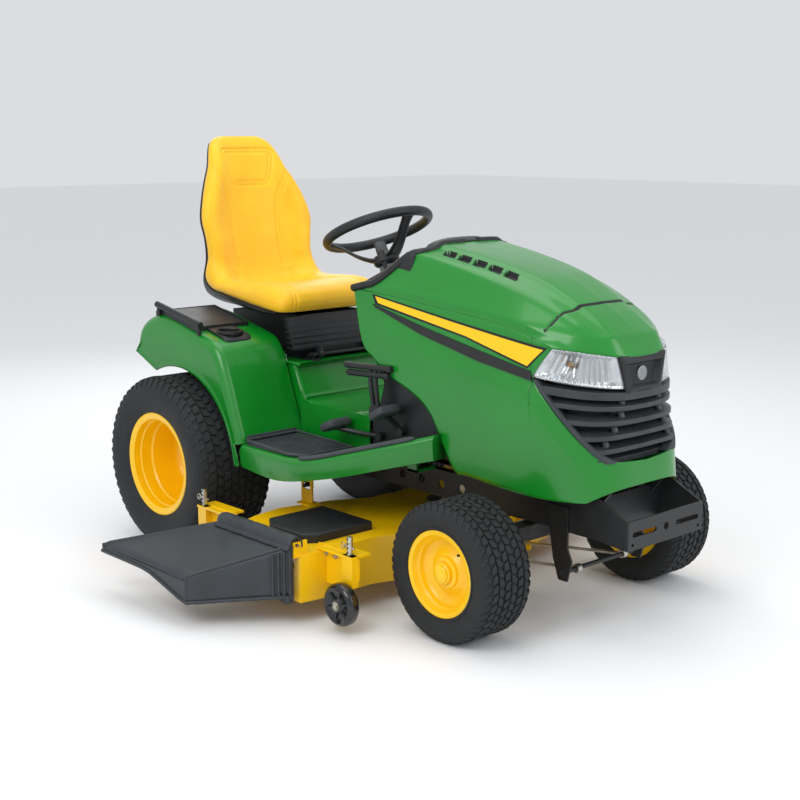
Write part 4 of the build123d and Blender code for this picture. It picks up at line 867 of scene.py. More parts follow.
def noseRun(z0, z1, out, inner=14, startPad=0):
    # points from the left end of a bar, past both corners, to the right end; z0 at the ends, z1 at the middle
    right = []
    startTurn = turnAt(diagonalX(z0) + startPad, z0)
    endTurn = cornerTurn(z1)
    for k in range(inner + 1):
        t = k / inner
        turn = startTurn + (endTurn - startTurn) * t
        z = z0 + (z1 - z0) * t
        x, y = noseAt(turn, z, out)
        right.append((x, -y, z))
    corner = right[-1]
    flat = [(corner[0] + 6 * (1 - (k / 5) ** 2), corner[1] * k / 5, corner[2]) for k in (4, 3, 2, 1, 0)]
    half = right + flat
    return half + [(x, -y, z) for x, y, z in reversed(half[:-1])]


def addLouvre(shape, run, tall, deep, drop, finishNumber):
    # a slat along the run whose upper face slopes down to its front edge
    rows = []
    for x, y, z in run:
        inward = Vector((1400 - x, -y * .6, 0)).normalized()
        edge = Vector((x, y, z))
        rows.append([edge + Vector((0, 0, tall / 2)), edge + Vector((0, 0, -tall / 2)),
                     edge + inward * deep + Vector((0, 0, -tall / 2 + drop)),
                     edge + inward * deep + Vector((0, 0, tall / 2 + drop))])
    start = len(shape["points"])
    addGrid(shape, rows, finishNumber, closed=True)
    last = start + (len(rows) - 1) * 4
    addFaces(shape, [shape["points"][start + k] for k in range(4)], [[0, 1, 2, 3]], finishNumber)
    addFaces(shape, [shape["points"][last + k] for k in range(4)], [[3, 2, 1, 0]], finishNumber)


def makeGrille():
    shape = newShape()
    for zEnd, zMid in zip(nose["louvreEndZ"], nose["louvreMiddleZ"]):
        addLouvre(shape, noseRun(zEnd, zMid, -2, startPad=8), 13, 34, 14, 0)
    addLouvre(shape, noseRun(716, 700, 1, startPad=2), 22, 26, 4, 0)
    addLouvre(shape, noseRun(527, 516, 0, startPad=2), 15, 30, 8, 0)
    # the frame down each diagonal edge
    for side in (-1, 1):
        rows = []
        for k in range(25):
            z = 742 - (742 - 519) * k / 24
            x0 = diagonalX(z)
            row = []
            for dx, out in ((0, -6), (1, 3.5), (11, 4), (19, -4), (19, -30), (0, -30)):
                x, y = noseAt(turnAt(x0 + dx, z), z, out)
                row.append((x, side * y, z))
            rows.append(row)
        addGrid(shape, rows, 0, closed=True)
    # posts at the two corners, between the louvres
    for side in (-1, 1):
        for z in nose["postZ"]:
            turn = cornerTurn(z)
            x, y = noseAt(turn - .03, z, -14)
            addTube(shape, [(x - 16, side * (y - 3), z - 22), (x, side * y, z),
                            (x - 16, side * (y - 3), z + 22)],
                    [12, 10, 12], 10, 0)
    # black sheet behind the louvres: painted shade seen through the gaps
    rows = []
    for z in (512, 560, 610, 660, 712, 745):
        row = []
        for side in (-1, 1):
            turns = [turnAt(diagonalX(z) + 14, z) * (1 - k / 10) + k / 10 for k in range(11)]
            if side > 0:
                turns = turns[::-1][1:]
            for turn in turns:
                x, y = noseAt(turn, z, -nose["shadeSheetInset"])
                row.append((x - 8, side * y, z))
        rows.append(row)
    addGrid(shape, rows, 1)
    return makePiece("nose_grille", shape, "hood", [finish["greyMoulding"], finish["blackAndPaintedShade"]],
                     ["grille"], sharp=34, bevel=1.2)


makeGrille()


# heights at the outer and inner ends, and the ends' places from the bottom edge to the top
lamp = {"lowZ": (748, 722), "highZ": (832, 812), "outerX": (1408, 1466), "innerY": (84, 104),
        "bulb": (.36, .55),
        "lens": 3, "flute": 5, "flutes": 46, "rim": 14, "bowl": 24}


def between(pair, share):
    return pair[0] + (pair[1] - pair[0]) * share


def lampPoint(s, t, out):
    # s from the outer end to the inner, t from the bottom edge to the top
    z = between((between(lamp["lowZ"], s), between(lamp["highZ"], s)), t)
    start = turnAt(between(lamp["outerX"], t), z)
    endY = between(lamp["innerY"], t)
    low, high = 0.3, 1
    for _ in range(20):
        middle = (low + high) / 2
        low, high = (middle, high) if noseAt(middle, z)[1] > endY else (low, middle)
    turn = start + (low - start) * s
    x, y = noseAt(turn, z, out)
    return x, y, z


def makeLamps():
    lens, bowl = newShape(), newShape()
    bulbS, bulbT = lamp["bulb"]
    for side in (-1, 1):
        rows, back = ([[(x, side * y, z) for x, y, z in (lampPoint(i / 60, j / 10, out) for j in range(11))]
                       for i in range(61)] for out in (0, -lamp["lens"]))
        addGrid(lens, rows)
        addGrid(lens, back)
        for row in (0, -1):
            addGrid(lens, [rows[row], back[row]])
        addGrid(lens, [[r[0] for r in rows], [r[0] for r in back]])
        addGrid(lens, [[r[-1] for r in rows], [r[-1] for r in back]])
        # fluted reflector: upright flutes in the middle of the lamp, a clear bowl at each end
        rows = []
        for i in range(121):
            s = i / 120
            row = []
            for j in range(13):
                t = j / 12
                flute = lamp["flute"] * abs(math.sin(s * lamp["flutes"])) if .12 < s < .86 else 0
                bowlDepth = lamp["bowl"] * math.exp(-((s - bulbS) / .09) ** 2 - ((t - bulbT) / .4) ** 2)
                rim = lamp["rim"] * min(1, 6 * min(t, 1 - t, s * 2, (1 - s) * 2))
                x, y, z = lampPoint(s, t, -5 - rim - flute - bowlDepth)
                row.append((x, side * y, z))
            rows.append(row)
        addGrid(bowl, rows, 0)
        x, y, z = lampPoint(bulbS, bulbT, -26)
        addTube(bowl, [(x - 12, side * (y - 8), z), (x, side * y, z), (x + 4, side * (y + 3), z)],
                [7, 7, 3], 12, 1)
    makePiece("lamp_lens", lens, "hood", [finish["clearLens"]], ["headlights"], sharp=40)
    makePiece("lamp_reflector", bowl, "hood", [finish["silverReflector"], finish["amberBulb"]],
              sharp=30, thick=1.5)


makeLamps()


badge = {"highHalf": 100, "lowHalf": 76, "high": 812, "low": 702, "lean": 6, "bossX": 1606, "bossZ": 757}


def makeBadge():
    # dark frame between the lamps, with a plain recessed plate
    shape = newShape()

    def ringAt(inset, x):
        wide, narrow = badge["highHalf"] - inset, badge["lowHalf"] - inset * .9
        high, low = badge["high"] - inset, badge["low"] + inset
        return [(x, -wide, high), (x, wide, high), (x + badge["lean"], narrow, low),
                (x + badge["lean"], -narrow, low)]

    rings = [ringAt(-2, 1596), ringAt(0, 1612), ringAt(16, 1619), ringAt(20, 1617), ringAt(28, 1604),
             ringAt(34, 1604)]
    addGrid(shape, rings, 0, closed=True)
    addFaces(shape, ringAt(34, 1604), [[0, 1, 2, 3]], 1)
    disc = [(0, .01), (0, 21), (2.5, 22), (4, 20), (4.5, 16), (4.5, .01)]
    addTurned(shape, disc, (badge["bossX"], 0, badge["bossZ"]), "x", 40, 2)
    return makePiece("badge_plate", shape, "hood", [finish["blackPlastic"], finish["blackAndPaintedShade"],
                                                    finish["castAluminium"]], sharp=30,
                     bevel=1.5)


makeBadge()


cowl = {"rimR": 12, "rearX": 842, "frontX": 934, "half": 118, "crestX": 929, "crestZ": 1086, "rise": 15,
        "edgeDrop": 16, "skirt": 26}


def makeCowl():
    # black rim round the hood's rear edge, with the low pod on its crest
    shape = newShape()
    for side in (1, -1):
        path = []
        for n in range(31):
            a = .08 + .92 * n / 30
            x, y, z = topPoint(0, a, side)
            path.append((x - 5, y, z - 1))
        addTube(shape, smoothPath(path, 1), cowl["rimR"], 12)
    rows = []
    for n in range(13):
        t = n / 12
        x = between((cowl["rearX"], cowl["frontX"]), t)
        rise = cowl["rise"] * math.sin(math.pi * (.12 + .8 * t))
        row = []
        for k in range(-12, 13):
            v = abs(k) / 12
            top = cowl["crestZ"] - max((x - cowl["crestX"]) * .12, (cowl["crestX"] - x) * .05)
            row.append((x, cowl["half"] * k / 12, top + rise * (1 - v ** 4) - cowl["edgeDrop"] * v ** 6))
        rows.append(row)
    addGrid(shape, rows)
    skirt = [[(x, y, z - cowl["skirt"]) for x, y, z in rows[0]], rows[0]]
    addGrid(shape, skirt)
    return makePiece("dash_cowl", shape, "chassis", [finish["blackPlastic"]], sharp=40,
                     thick=3)


makeCowl()
print("hood made")


# ---- seat

# along the padded seat from the front edge of the cushion to the top of the back: front surface (x, z),
# rear surface (x, z), half width, height of the side bolsters, how far the sides sweep forward in front
# and behind
seatStations = [((256, 822), (250, 814), 196, 0, 0, 0), ((264, 836), (236, 811), 222, 0, 0, 0),
                ((266, 856), (212, 810), 236, 1, 2, 0), ((252, 880), (180, 810), 243, 3, 4, 2),
                ((205, 897), (140, 810), 247, 5, 8, 6), ((140, 900), (90, 811), 249, 6, 16, 12),
                ((40, 886), (10, 813), 250, 8, 30, 24), ((-60, 872), (-90, 816), 250, 10, 44, 40),
                ((-128, 880), (-190, 822), 248, 12, 58, 60), ((-170, 922), (-258, 850), 243, 12, 68, 76),
                ((-190, 975), (-284, 942), 229, 10, 74, 88), ((-203, 1040), (-298, 1030), 233, 10, 76, 94),
                ((-216, 1110), (-310, 1110), 242, 10, 76, 95), ((-228, 1180), (-320, 1180), 224, 10, 72, 88),
                ((-236, 1240), (-326, 1240), 198, 8, 60, 74), ((-247, 1296), (-329, 1296), 168, 6, 44, 56),
                ((-260, 1340), (-330, 1340), 152, 4, 30, 40), ((-274, 1375), (-329, 1372), 136, 2, 16, 24),
                ((-288, 1396), (-324, 1394), 112, 1, 8, 12), ((-300, 1406), (-314, 1405), 80, 0, 3, 5)]
seatLook = {"seamDepth": 6.5, "seamWidth": 3.8, "sweep": 2.2, "headLow": 1227, "headHigh": 1359,
            "headHalfLow": 85, "headHalfHigh": 120, "headCorner": 26}


def seatAt(t):
    n = (len(seatStations) - 1) * t

    def along(read):
        return blendValue(n, [(i, read(s)) for i, s in enumerate(seatStations)])

    front = Vector((along(lambda s: s[0][0]), 0, along(lambda s: s[0][1])))
    rear = Vector((along(lambda s: s[1][0]), 0, along(lambda s: s[1][1])))
    return (front, rear, along(lambda s: s[2]), along(lambda s: s[3]), along(lambda s: s[4]),
            along(lambda s: s[5]))


def grooveAt(y, z, x):
    # depth of the sewn seams: two pairs up the back that part at the shoulders, the double outline
    # of the head panel, and the cushion's channels
    depth = 0.0

    def cut(distance):
        return seatLook["seamDepth"] * math.exp(-(distance / seatLook["seamWidth"]) ** 2)

    if z > 930:
        line = blendValue(z, [(930, 98), (1080, 98), (1180, 110), (1240, 134), (1330, 182)])
        depth = max(depth, cut(abs(y) - line), .8 * cut(abs(y) - line - 14))
    if z > 1190:
        low, high, corner = seatLook["headLow"], seatLook["headHigh"], seatLook["headCorner"]
        share = (z - low) / (high - low)
        half = seatLook["headHalfLow"] + (seatLook["headHalfHigh"] - seatLook["headHalfLow"]) * share
        dy, dz = abs(y) - half + corner, abs(z - (low + high) / 2) - (high - low) / 2 + corner
        away = math.hypot(max(dy, 0), max(dz, 0)) + min(max(dy, dz), 0) - corner
        depth = max(depth, cut(away), .8 * cut(away + 13))
    if z < 930 and x > -150:
        line = 118 + (x + 150) * .13
        depth = max(depth, cut(abs(y) - line), .8 * cut(abs(y) - line - 14))
    return depth


def seatRing(t, across=56):
    front, rear, half, bolster, sweepFront, sweepRear = seatAt(t)
    out = (front - rear).normalized()
    deep = (front - rear).length
    ring = []
    for k in range(-across, across + 1):
        v = k / across
        y = half * (1.18 * v - .18 * v ** 3)
        v = y / half
        swept = abs(v) ** seatLook["sweep"]
        drop = (deep * .72 + sweepFront - sweepRear) * (1 - (1 - abs(v) ** 7) ** .5)
        rise = bolster * math.exp(-((abs(v) - .80) / .17) ** 2) * (1 - abs(v) ** 12)
        spot = front + out * (rise - drop + sweepFront * swept)
        spot -= out * grooveAt(y, spot.z, spot.x)
        ring.append((spot.x, y, spot.z))
    for k in range(across - 1, -across, -1):
        v = k / across
        y = half * (1.18 * v - .18 * v ** 3)
        v = y / half
        spot = rear + out * ((deep * .28) * (1 - (1 - abs(v) ** 9) ** .5)
                             + sweepRear * abs(v) ** seatLook["sweep"])
        ring.append((spot.x, y, spot.z))
    return ring


def makeSeat():
    shape = newShape()
    steps = 200
    rings = [seatRing(i / steps) for i in range(steps + 1)]
    addGrid(shape, rings, closed=True)
    for ring in (rings[0], rings[-1]):
        addFaces(shape, ring, [list(range(len(ring)))])
    cushion = makePiece("seat_padding", shape, "seat", [finish["yellowVinyl"]],
                        ["seat_cushion"],
                        sharp=75, levels=1)
    # moulded pan behind and below the padding, deeper under the crook
    pan = newShape()
    rings = []
    for i in range(105):
        t = .1 + .81 * i / 104
        front, rear, half, _, _, sweepRear = seatAt(t)
        out = (front - rear).normalized()
        deep = straightValue(t, [(.1, 8), (.2, 24), (.36, 28), (.45, 46), (.52, 26), (.58, 13), (.91, 9)])
        half = half - 4
        ring = []
        for k in range(-26, 27):
            v = k / 26
            back = deep * (1 - abs(v) ** 6) ** .6
            swept = sweepRear * abs(v) ** seatLook["sweep"]
            ring.append(rear + Vector((0, half * v, 0)) + out * (swept - back))
        for k in range(25, -26, -1):
            v = k / 26
            ring.append(rear + Vector((0, (half - 4) * v, 0))
                        + out * (sweepRear * abs(v) ** seatLook["sweep"] + 3 + 16 * abs(v) ** 9))
        rings.append(ring)
    addGrid(pan, rings, closed=True)
    for ring in (rings[0], rings[-1]):
        addFaces(pan, ring, [list(range(len(ring)))])
    # two stiffening ribs down the back of the pan
    for y in (-70, 70):
        path = []
        for k in range(13):
            _, rear, half, _, _, sweepRear = seatAt(.56 + .3 * k / 12)
            path.append(rear + Vector((-12 + sweepRear * (70 / half) ** 2.2, y, 0)))
        addTube(pan, path, 8, 10)
    makePiece("seat_pan", pan, "seat", [finish["blackPlastic"]], ["seat_shell"], sharp=60)


makeSeat()
print("seat made")


# ---- fenders, middle section and footboards

fender = {"top": [(-262, 690), (-252, 722), (-232, 750), (-196, 775), (-150, 792), (-105, 798), (-20, 786),
                  (60, 767), (140, 750), (200, 733), (234, 704), (256, 664), (276, 616), (298, 560),
                  (324, 490),
                  (344, 440), (350, 412)],
          "inner": 215, "outer": 490, "cornerR": 30, "innerR": 14, "archR": 328, "thick": 4}
middle = [(-262, 690), (-232, 690), (-222, 684), (-216, 652), (-200, 650), (292, 650), (306, 640),
          (345, 562),
          (360, 538), (392, 525), (700, 525)]


cups = {"x": 152, "y": 380, "holeR": 41, "longHalf": 60, "wideHalf": 57, "lipR": 37}
tankNeck = {"x": -60, "y": 312, "holeR": 25}


def makeFenders():
    shape = newShape()
    top = smoothPath([(x, 0, z) for x, z in fender["top"]], 9)
    count = len(top)
    lines = []
    for i, spot in enumerate(top):
        share = i / (count - 1)
        before, after = top[max(0, i - 1)], top[min(count - 1, i + 1)]
        ahead = (after - before).normalized()
        up = Vector((-ahead.z, 0, ahead.x))
        if share < .04:
            bottom = (-262 - 2 * share, 655)
        elif share > .97:
            bottom = (350, 338)
        else:
            angle = math.radians(-24 + 108 * (share - .04) / .93)
            reach = fender["archR"]
            bottom = (reach * math.sin(angle), rearWheel["radius"] + reach * math.cos(angle))
        lines.append((spot, up, bottom))
    for side in (1, -1):
        rows = []
        for spot, up, bottom in lines:
            floorZ = straightValue(spot.x, middle) - 4
            row = [(spot.x, side * fender["inner"], floorZ + (spot.z - floorZ) * k / 4) for k in range(4)]
            r = fender["innerR"]
            for k in range(5):
                a = math.pi / 2 * k / 4
                p = spot - up * r * (1 - math.sin(a))
                row.append((p.x, side * (fender["inner"] + r * (1 - math.cos(a))), p.z))
            for k in range(1, 30):
                y = fender["inner"] + r + (fender["outer"] - fender["cornerR"] - fender["inner"] - r) * k / 30
                crown = 3 * math.sin(math.pi * k / 30)
                row.append((spot.x + up.x * crown, side * y, spot.z + up.z * crown))
            r = fender["cornerR"]
            for k in range(9):
                a = math.pi / 2 * k / 8
                p = spot - up * r * (1 - math.cos(a))
                row.append((p.x, side * (fender["outer"] - r + r * math.sin(a)), p.z))
            edge = row[-1]
            for k in range(1, 13):
                t = k / 12
                x = edge[0] + (bottom[0] - edge[0]) * t
                z = edge[2] + (bottom[1] - edge[2]) * t
                flare = 5 * max(0, (t - .82) / .18) ** 2
                row.append((x, side * (fender["outer"] + flare), z))
            rows.append(row)
        addGrid(shape, rows if side < 0 else rows[::-1])
        # wall of the tunnel beside the footboard
        addPrism(shape, [(346, 560), (362, 536), (392, 524), (700, 524), (700, 412), (344, 412)],
                 side * 225 - 2, side * 225 + 2)
    rows = []
    line = smoothPath([(x, 0, z) for x, z in middle], 3)
    for spot in line:
        rows.append([(spot.x, y, spot.z - 6 * (abs(y) > 219) * (spot.x > 330)) for y in
                     [-226 + 452 * k / 24 for k in range(25)]])
    addGrid(shape, rows)
    # round holes for the cups and the neck of the tank
    kept = []
    for face in shape["faces"]:
        x, y, z = [sum(shape["points"][i][n] for i in face) / len(face) for n in range(3)]
        cup = math.hypot(x - cups["x"], abs(y) - cups["y"]) < cups["holeR"] and z > 700
        neck = math.hypot(x - tankNeck["x"], y + tankNeck["y"]) < tankNeck["holeR"] and z > 700
        if not (cup or neck):
            kept.append(face)
    shape["faces"], shape["finish"] = kept, [0] * len(kept)
    return makePiece("fender_body", shape, "chassis", [finish["greenPanel"]],
                     ["fender_deck"],
                     sharp=40, thick=fender["thick"])


makeFenders()


def makeCupRims():
    # square black rim with rounded corners round each cup, rolled over into the hole
    shape = newShape()
    for side in (1, -1):
        rows = []
        for n in range(72):
            a = 2 * math.pi * n / 72
            c, s = math.cos(a), math.sin(a)
            power = .3
            outX = cups["longHalf"] * math.copysign(abs(c) ** power, c)
            outY = cups["wideHalf"] * math.copysign(abs(s) ** power, s)
            row = []
            for share, lift in ((1, 0), (.985, 4), (.93, 6), (.5, 6), (.1, 6.5), (0, 4), (-.04, -16)):
                x = cups["x"] + (outX - cups["lipR"] * c) * share + cups["lipR"] * c
                y = cups["y"] + (outY - cups["lipR"] * s) * share + cups["lipR"] * s
                row.append((x, side * y, blendValue(x, fender["top"][3:]) + 3 + lift))
            rows.append(row)
        addGrid(shape, rows, joined=True)
    makePiece("cup_rims", shape, "chassis", [finish["blackPlastic"]], sharp=50)


makeCupRims()

board = {"top": [(350, 412), (500, 412), (650, 413), (720, 427), (790, 448), (930, 490), (1057, 529)],
         "low": [(350, 338), (440, 330), (541, 327), (670, 346), (800, 376), (930, 414), (1057, 450)],
         "edge": [(350, 490), (600, 490), (660, 478), (800, 430), (930, 363), (1057, 288)],
         "inner": [(350, 225), (970, 225), (985, 252), (1057, 252)], "cornerR": 20}


def boardTop(x):
    return blendValue(x, board["top"])


def boardEdge(x):
    return blendValue(x, board["edge"])


def makeFootboards():
    shape = newShape()
    for side in (1, -1):
        rows = []
        for n in range(72):
            x = 350 + (1057 - 350) * n / 71
            z, low, outer = boardTop(x), blendValue(x, board["low"]), boardEdge(x)
            inner, r = straightValue(x, board["inner"]), board["cornerR"]
            row = [(x, side * (inner + (outer - r - inner) * k / 8), z) for k in range(9)]
            for k in range(1, 7):
                a = math.pi / 2 * k / 6
                row.append((x, side * (outer - r + r * math.sin(a)), z - r * (1 - math.cos(a))))
            for k in range(1, 8):
                t = k / 7
                row.append((x, side * (outer - 5 * t * t), z - r + (low - z + r) * t))
            row.append((x, side * (outer - 14), low - 1))
            rows.append(row)
        addGrid(shape, rows if side < 0 else rows[::-1])
        end = rows[-1]
        closing = [end, [(x - 2, side * 232, z) for x, y, z in end]]
        addGrid(shape, closing)
        for x in (470, 900):
            ys = sorted((side * 245, side * 160))
            addBlock(shape, (x, x + 40), ys, (385, 393))
            ys = sorted((side * 245, side * 237))
            addBlock(shape, (x, x + 40), ys, (385, 408 if x < 800 else 476))
    makePiece("footboard_panels", shape, "chassis", [finish["greenPanel"]], ["footboards"],
              sharp=40, thick=4)
    trim = newShape()
    for side in (1, -1):
        # rubber bead along the front of the board's edge
        path = [(x, side * (boardEdge(x) - 15), boardTop(x) + 3) for x in range(640, 1011, 15)]
        addTube(trim, path, [7] + [11] * (len(path) - 2) + [6], 12, 0, .75)
        # hex bolts that hold the board
        for x, y in ((400, 300), (700, 300)):
            addBolt(trim, (x, side * y, boardTop(x) + .5), "z", 7, 1, 1)
    makePiece("footboard_bead", trim, "chassis", [finish["matRubber"], finish["platedSteel"]],
              sharp=30)


makeFootboards()


mat = {"outline": [(360, 258), (360, 462), (372, 472), (585, 472), (640, 452), (648, 440), (648, 258)],
       "low": 413, "high": 419, "ribs": 13, "ribStart": 272, "ribStep": 15, "ribHalf": 2.6, "ribTall": 4,
       "rimR": 5, "heelRise": 7, "studRows": 17, "studStep": 14.5, "studR": 3}


def makeMats():
    shape = newShape()
    high = mat["high"]
    for side in (1, -1):
        ring = [(x, side * y) for x, y in mat["outline"]]
        addPrism(shape, ring, mat["low"], high, "xy")
        # raised rim, highest at the heel
        path = [(x, side * y, high + 1 + mat["heelRise"] * (x < 375)) for x, y in mat["outline"]]
        addTube(shape, path + [path[0]], mat["rimR"], 8)
        # ribs in rows, with studs between them
        for n in range(mat["ribs"]):
            y = mat["ribStart"] + mat["ribStep"] * n
            front, top = 632 if y < 440 else 600, high + mat["ribTall"]
            addPrism(shape, [(376, high), (front, high), (front - 2, top), (378, top)],
                     side * y - mat["ribHalf"],
                     side * y + mat["ribHalf"])
        stud = [(0, .01), (0, mat["studR"]), (2.4, mat["studR"] - .8), (2.4, .01)]
        for i in range(mat["studRows"]):
            for j in range(mat["ribs"] - 1):
                x, y = 384 + mat["studStep"] * i, mat["ribStart"] + mat["ribStep"] * (j + .5)
                if x < 600:
                    addTurned(shape, stud, (x, side * y, high), "z", 6)
        # upright lip at the heel
        addBlock(shape, (352, 360), sorted((side * 258, side * 462)), (mat["low"], 438))
    makePiece("ribbed_mats", shape, "chassis", [finish["matRubber"]], ["foot_mats"], sharp=30)


makeMats()
print("body made")


# ---- deck and the other pressed or moulded parts: rounded edges all round

rounded = {"front_bracket": ("chassis", "blackSteel", "black_steel", 1.2),
           "draft_brackets": ("chassis", "blackSteel", "black_steel", 1.2),
           "hitch_plate": ("chassis", "blackSteel", "black_steel", 1.2),
           "fender_trays": ("chassis", "blackPlastic", "black_plastic", 1.5),
           "seat_suspension": ("seat", "blackPlastic", "black_plastic", 1.5),
           "belt_covers": ("deck", "blackPlastic", "black_plastic", 3),
           "deck_shell": ("deck", "yellowEnamel", "yellow_enamel", 4),
           "battery": ("chassis", "blackPlastic", "black_plastic", 2),
           "fuel_cap": ("fuel_cap", "blackPlastic", "black_plastic", 1)}
for node, (body, look, slotName, bevel) in rounded.items():
    softenNode(node, body, finish[look], slotName, bevel)
print("rounded parts ready")


# ---- steering wheel, console, lever and pedals

steering = {"x": 486, "z": 1099, "tilt": 23.7, "ringR": 176, "gripR": 15, "hubR": 45, "hubDepth": 110,
            "spokes": (0, 140, 220), "spokeHalf": [(24, 34), (60, 27), (110, 21), (150, 22), (174, 33)],
            "spokeDepth": [(24, 104), (50, 96), (90, 70), (130, 32), (160, 8), (174, 1)], "spokeThick": 14,
            "shaftR": 11, "columnR": 25, "folds": 7, "foldStep": 14}


def columnSpot(depth, ahead=0, across=0):
    # a point beside the steering axis, depth measured down from the wheel's plane
    a = math.radians(steering["tilt"])
    return Vector((steering["x"] + depth * math.sin(a) + ahead * math.cos(a), across,
                   steering["z"] - depth * math.cos(a) + ahead * math.sin(a)))


def addSpun(shape, profile, sides=48, finish=0):
    # profile of (depth, radius) turned about the steering axis
    rows = []
    for n in range(sides):
        a = 2 * math.pi * n / sides
        rows.append([columnSpot(depth, r * math.cos(a), r * math.sin(a)) for depth, r in profile])
    addGrid(shape, rows, finish, closed=False, joined=True)


def makeSteering():
    shape = newShape()
    rows = []
    for n in range(120):
        a = 2 * math.pi * n / 120
        row = []
        for k in range(20):
            b = 2 * math.pi * k / 20
            r = steering["ringR"] + steering["gripR"] * math.cos(b)
            row.append(columnSpot(1.1 * steering["gripR"] * math.sin(b), r * math.cos(a), r * math.sin(a)))
        rows.append(row)
    addGrid(shape, rows, closed=True, joined=True)
    for turn in steering["spokes"]:
        a = math.radians(turn)
        rows = []
        for n in range(17):
            r = 24 + 150 * n / 16
            depth, half = blendValue(r, steering["spokeDepth"]), blendValue(r, steering["spokeHalf"])
            row = []
            for k in range(20):
                b = 2 * math.pi * k / 20
                u = half * math.copysign(abs(math.cos(b)) ** .6, math.cos(b))
                w = steering["spokeThick"] / 2 * math.copysign(abs(math.sin(b)) ** .7, math.sin(b))
                row.append(columnSpot(depth + w - 3 * (1 - abs(u) / half), r * math.cos(a) - u * math.sin(a),
                                      r * math.sin(a) + u * math.cos(a)))
            rows.append(row)
        addGrid(shape, rows, closed=True)
        for ring in (rows[0], rows[-1]):
            addFaces(shape, ring, [list(range(20))])
    hub, depth = steering["hubR"], steering["hubDepth"]
    addSpun(shape, [(depth + 12, .01), (depth + 12, hub - 6), (depth + 6, hub - 1), (depth - 10, hub),
                    (depth - 18, hub - 4),
                    (depth - 21, hub - 9), (depth - 18, hub - 12), (depth - 22, hub - 15), (depth - 27, 14),
                    (depth - 28, .01)])
    shaft = steering["shaftR"]
    addSpun(shape, [(depth + 10, shaft), (depth + 92, shaft), (depth + 92, .01)], finish=1)
    makePiece("steering_wheel_trim", shape, "steering_wheel",
              [finish["blackPlastic"], finish["platedSteel"]],
              ["steering_wheel"], sharp=50)
    # column with its collar, and the ribbed boot where it meets the dash
    column, r = newShape(), steering["columnR"]
    addSpun(column, [(126, 13), (126, 27), (129, 30), (150, 31), (154, 28), (154, r), (282, r), (282, 13),
                     (126, 13)])
    boot = [(182, r + 1)]
    for n in range(steering["folds"]):
        depth = 186 + steering["foldStep"] * n
        boot += [(depth, r + 5 + 2 * n), (depth + 7, r + 2 + 2 * n)]
    addSpun(column, boot + [(284, 42), (286, r)], finish=1)
    addBlock(column, (566, 662), (-24, 24), (806, 838), 1)
    makePiece("steering_column_trim", column, "chassis", [finish["greyPolymer"], finish["blackAndPaintedShade"]],
              ["steering_column"], sharp=40)


makeSteering()


console = {"outline": [(640, 945), (893, 1062), (900, 690), (1010, 585), (1080, 440), (706, 430), (701, 525),
                       (735, 560), (760, 640), (700, 735), (668, 800), (650, 926)], "half": 222, "edgeR": 12}


def makeConsole():
    shape = newShape()
    addPrism(shape, console["outline"], -console["half"], console["half"])
    makePiece("console_body", shape, "chassis", [finish["blackPlastic"]], ["dash_console"],
              bevel=console["edgeR"], segments=4)


makeConsole()


def addPad(shape, centre, size, lean=0, finish=0):
    # a block with well rounded edges, leaning about its crosswise axis
    def bent(value, power):
        return math.copysign(abs(value) ** power, value)

    lean = math.radians(lean)
    rows = []
    for i in range(25):
        u = -math.pi / 2 + math.pi * i / 24
        row = []
        for j in range(48):
            v = 2 * math.pi * j / 48
            x = size[0] / 2 * bent(math.cos(u), .35) * bent(math.cos(v), .4)
            y = size[1] / 2 * bent(math.cos(u), .35) * bent(math.sin(v), .4)
            z = size[2] / 2 * bent(math.sin(u), .6)
            row.append((centre[0] + x * math.cos(lean) - z * math.sin(lean), centre[1] + y,
                        centre[2] + x * math.sin(lean) + z * math.cos(lean)))
        rows.append(row)
    addGrid(shape, rows, finish, closed=True)


pedals = {"pedal_reverse": {"pivot": (760, 470), "pad": (601, 490), "lean": 24, "side": -1},
          "pedal_forward": {"pivot": (860, 500), "pad": (841, 566), "lean": 30, "side": -1},
          "pedal_brake": {"pivot": (800, 480), "pad": (862, 556), "lean": 30, "side": 1}}


pedalLook = {"y": 286, "pad": (70, 96, 28), "ribs": 7, "ribStep": 8.5, "ribR": 2.6, "ribHalf": 34,
             "ribLift": 13.5,
             "stemR": 8, "pinR": 6, "bossR": 13}


def makePedals():
    for name, pedal in pedals.items():
        shape = newShape()
        side, (x, z), (padX, padZ) = pedal["side"], pedal["pivot"], pedal["pad"]
        y, lean = side * pedalLook["y"], math.radians(pedal["lean"])
        addPad(shape, (padX, y, padZ), pedalLook["pad"], pedal["lean"])
        for n in range(pedalLook["ribs"]):
            # cross ribs for grip
            ahead, lift = pedalLook["ribStep"] * (n - pedalLook["ribs"] // 2), pedalLook["ribLift"]
            ribX = padX + ahead * math.cos(lean) - lift * math.sin(lean)
            ribZ = padZ + ahead * math.sin(lean) + lift * math.cos(lean)
            ribY = (y - pedalLook["ribHalf"], y + pedalLook["ribHalf"])
            addTube(shape, [(ribX, ribY[0], ribZ), (ribX, ribY[1], ribZ)], pedalLook["ribR"], 8)
        under = (padX + 10 * math.sin(lean), y, padZ - 10 * math.cos(lean))
        path = smoothPath([(x, side * 235, z), ((x + padX) / 2, side * 245, (z + padZ) / 2 - 12), under], 6)
        addTube(shape, path, pedalLook["stemR"], 12, 1)
        addTube(shape, [(x, side * 211, z), (x, side * 242, z)], pedalLook["pinR"], 12, 1)
        addTube(shape, [(x, side * 224, z), (x, side * 244, z)], pedalLook["bossR"], 20, 1)
        makePiece(name + "_pad", shape, name, [finish["matRubber"], finish["blackSteel"]],
                  [name], sharp=45)


makePedals()


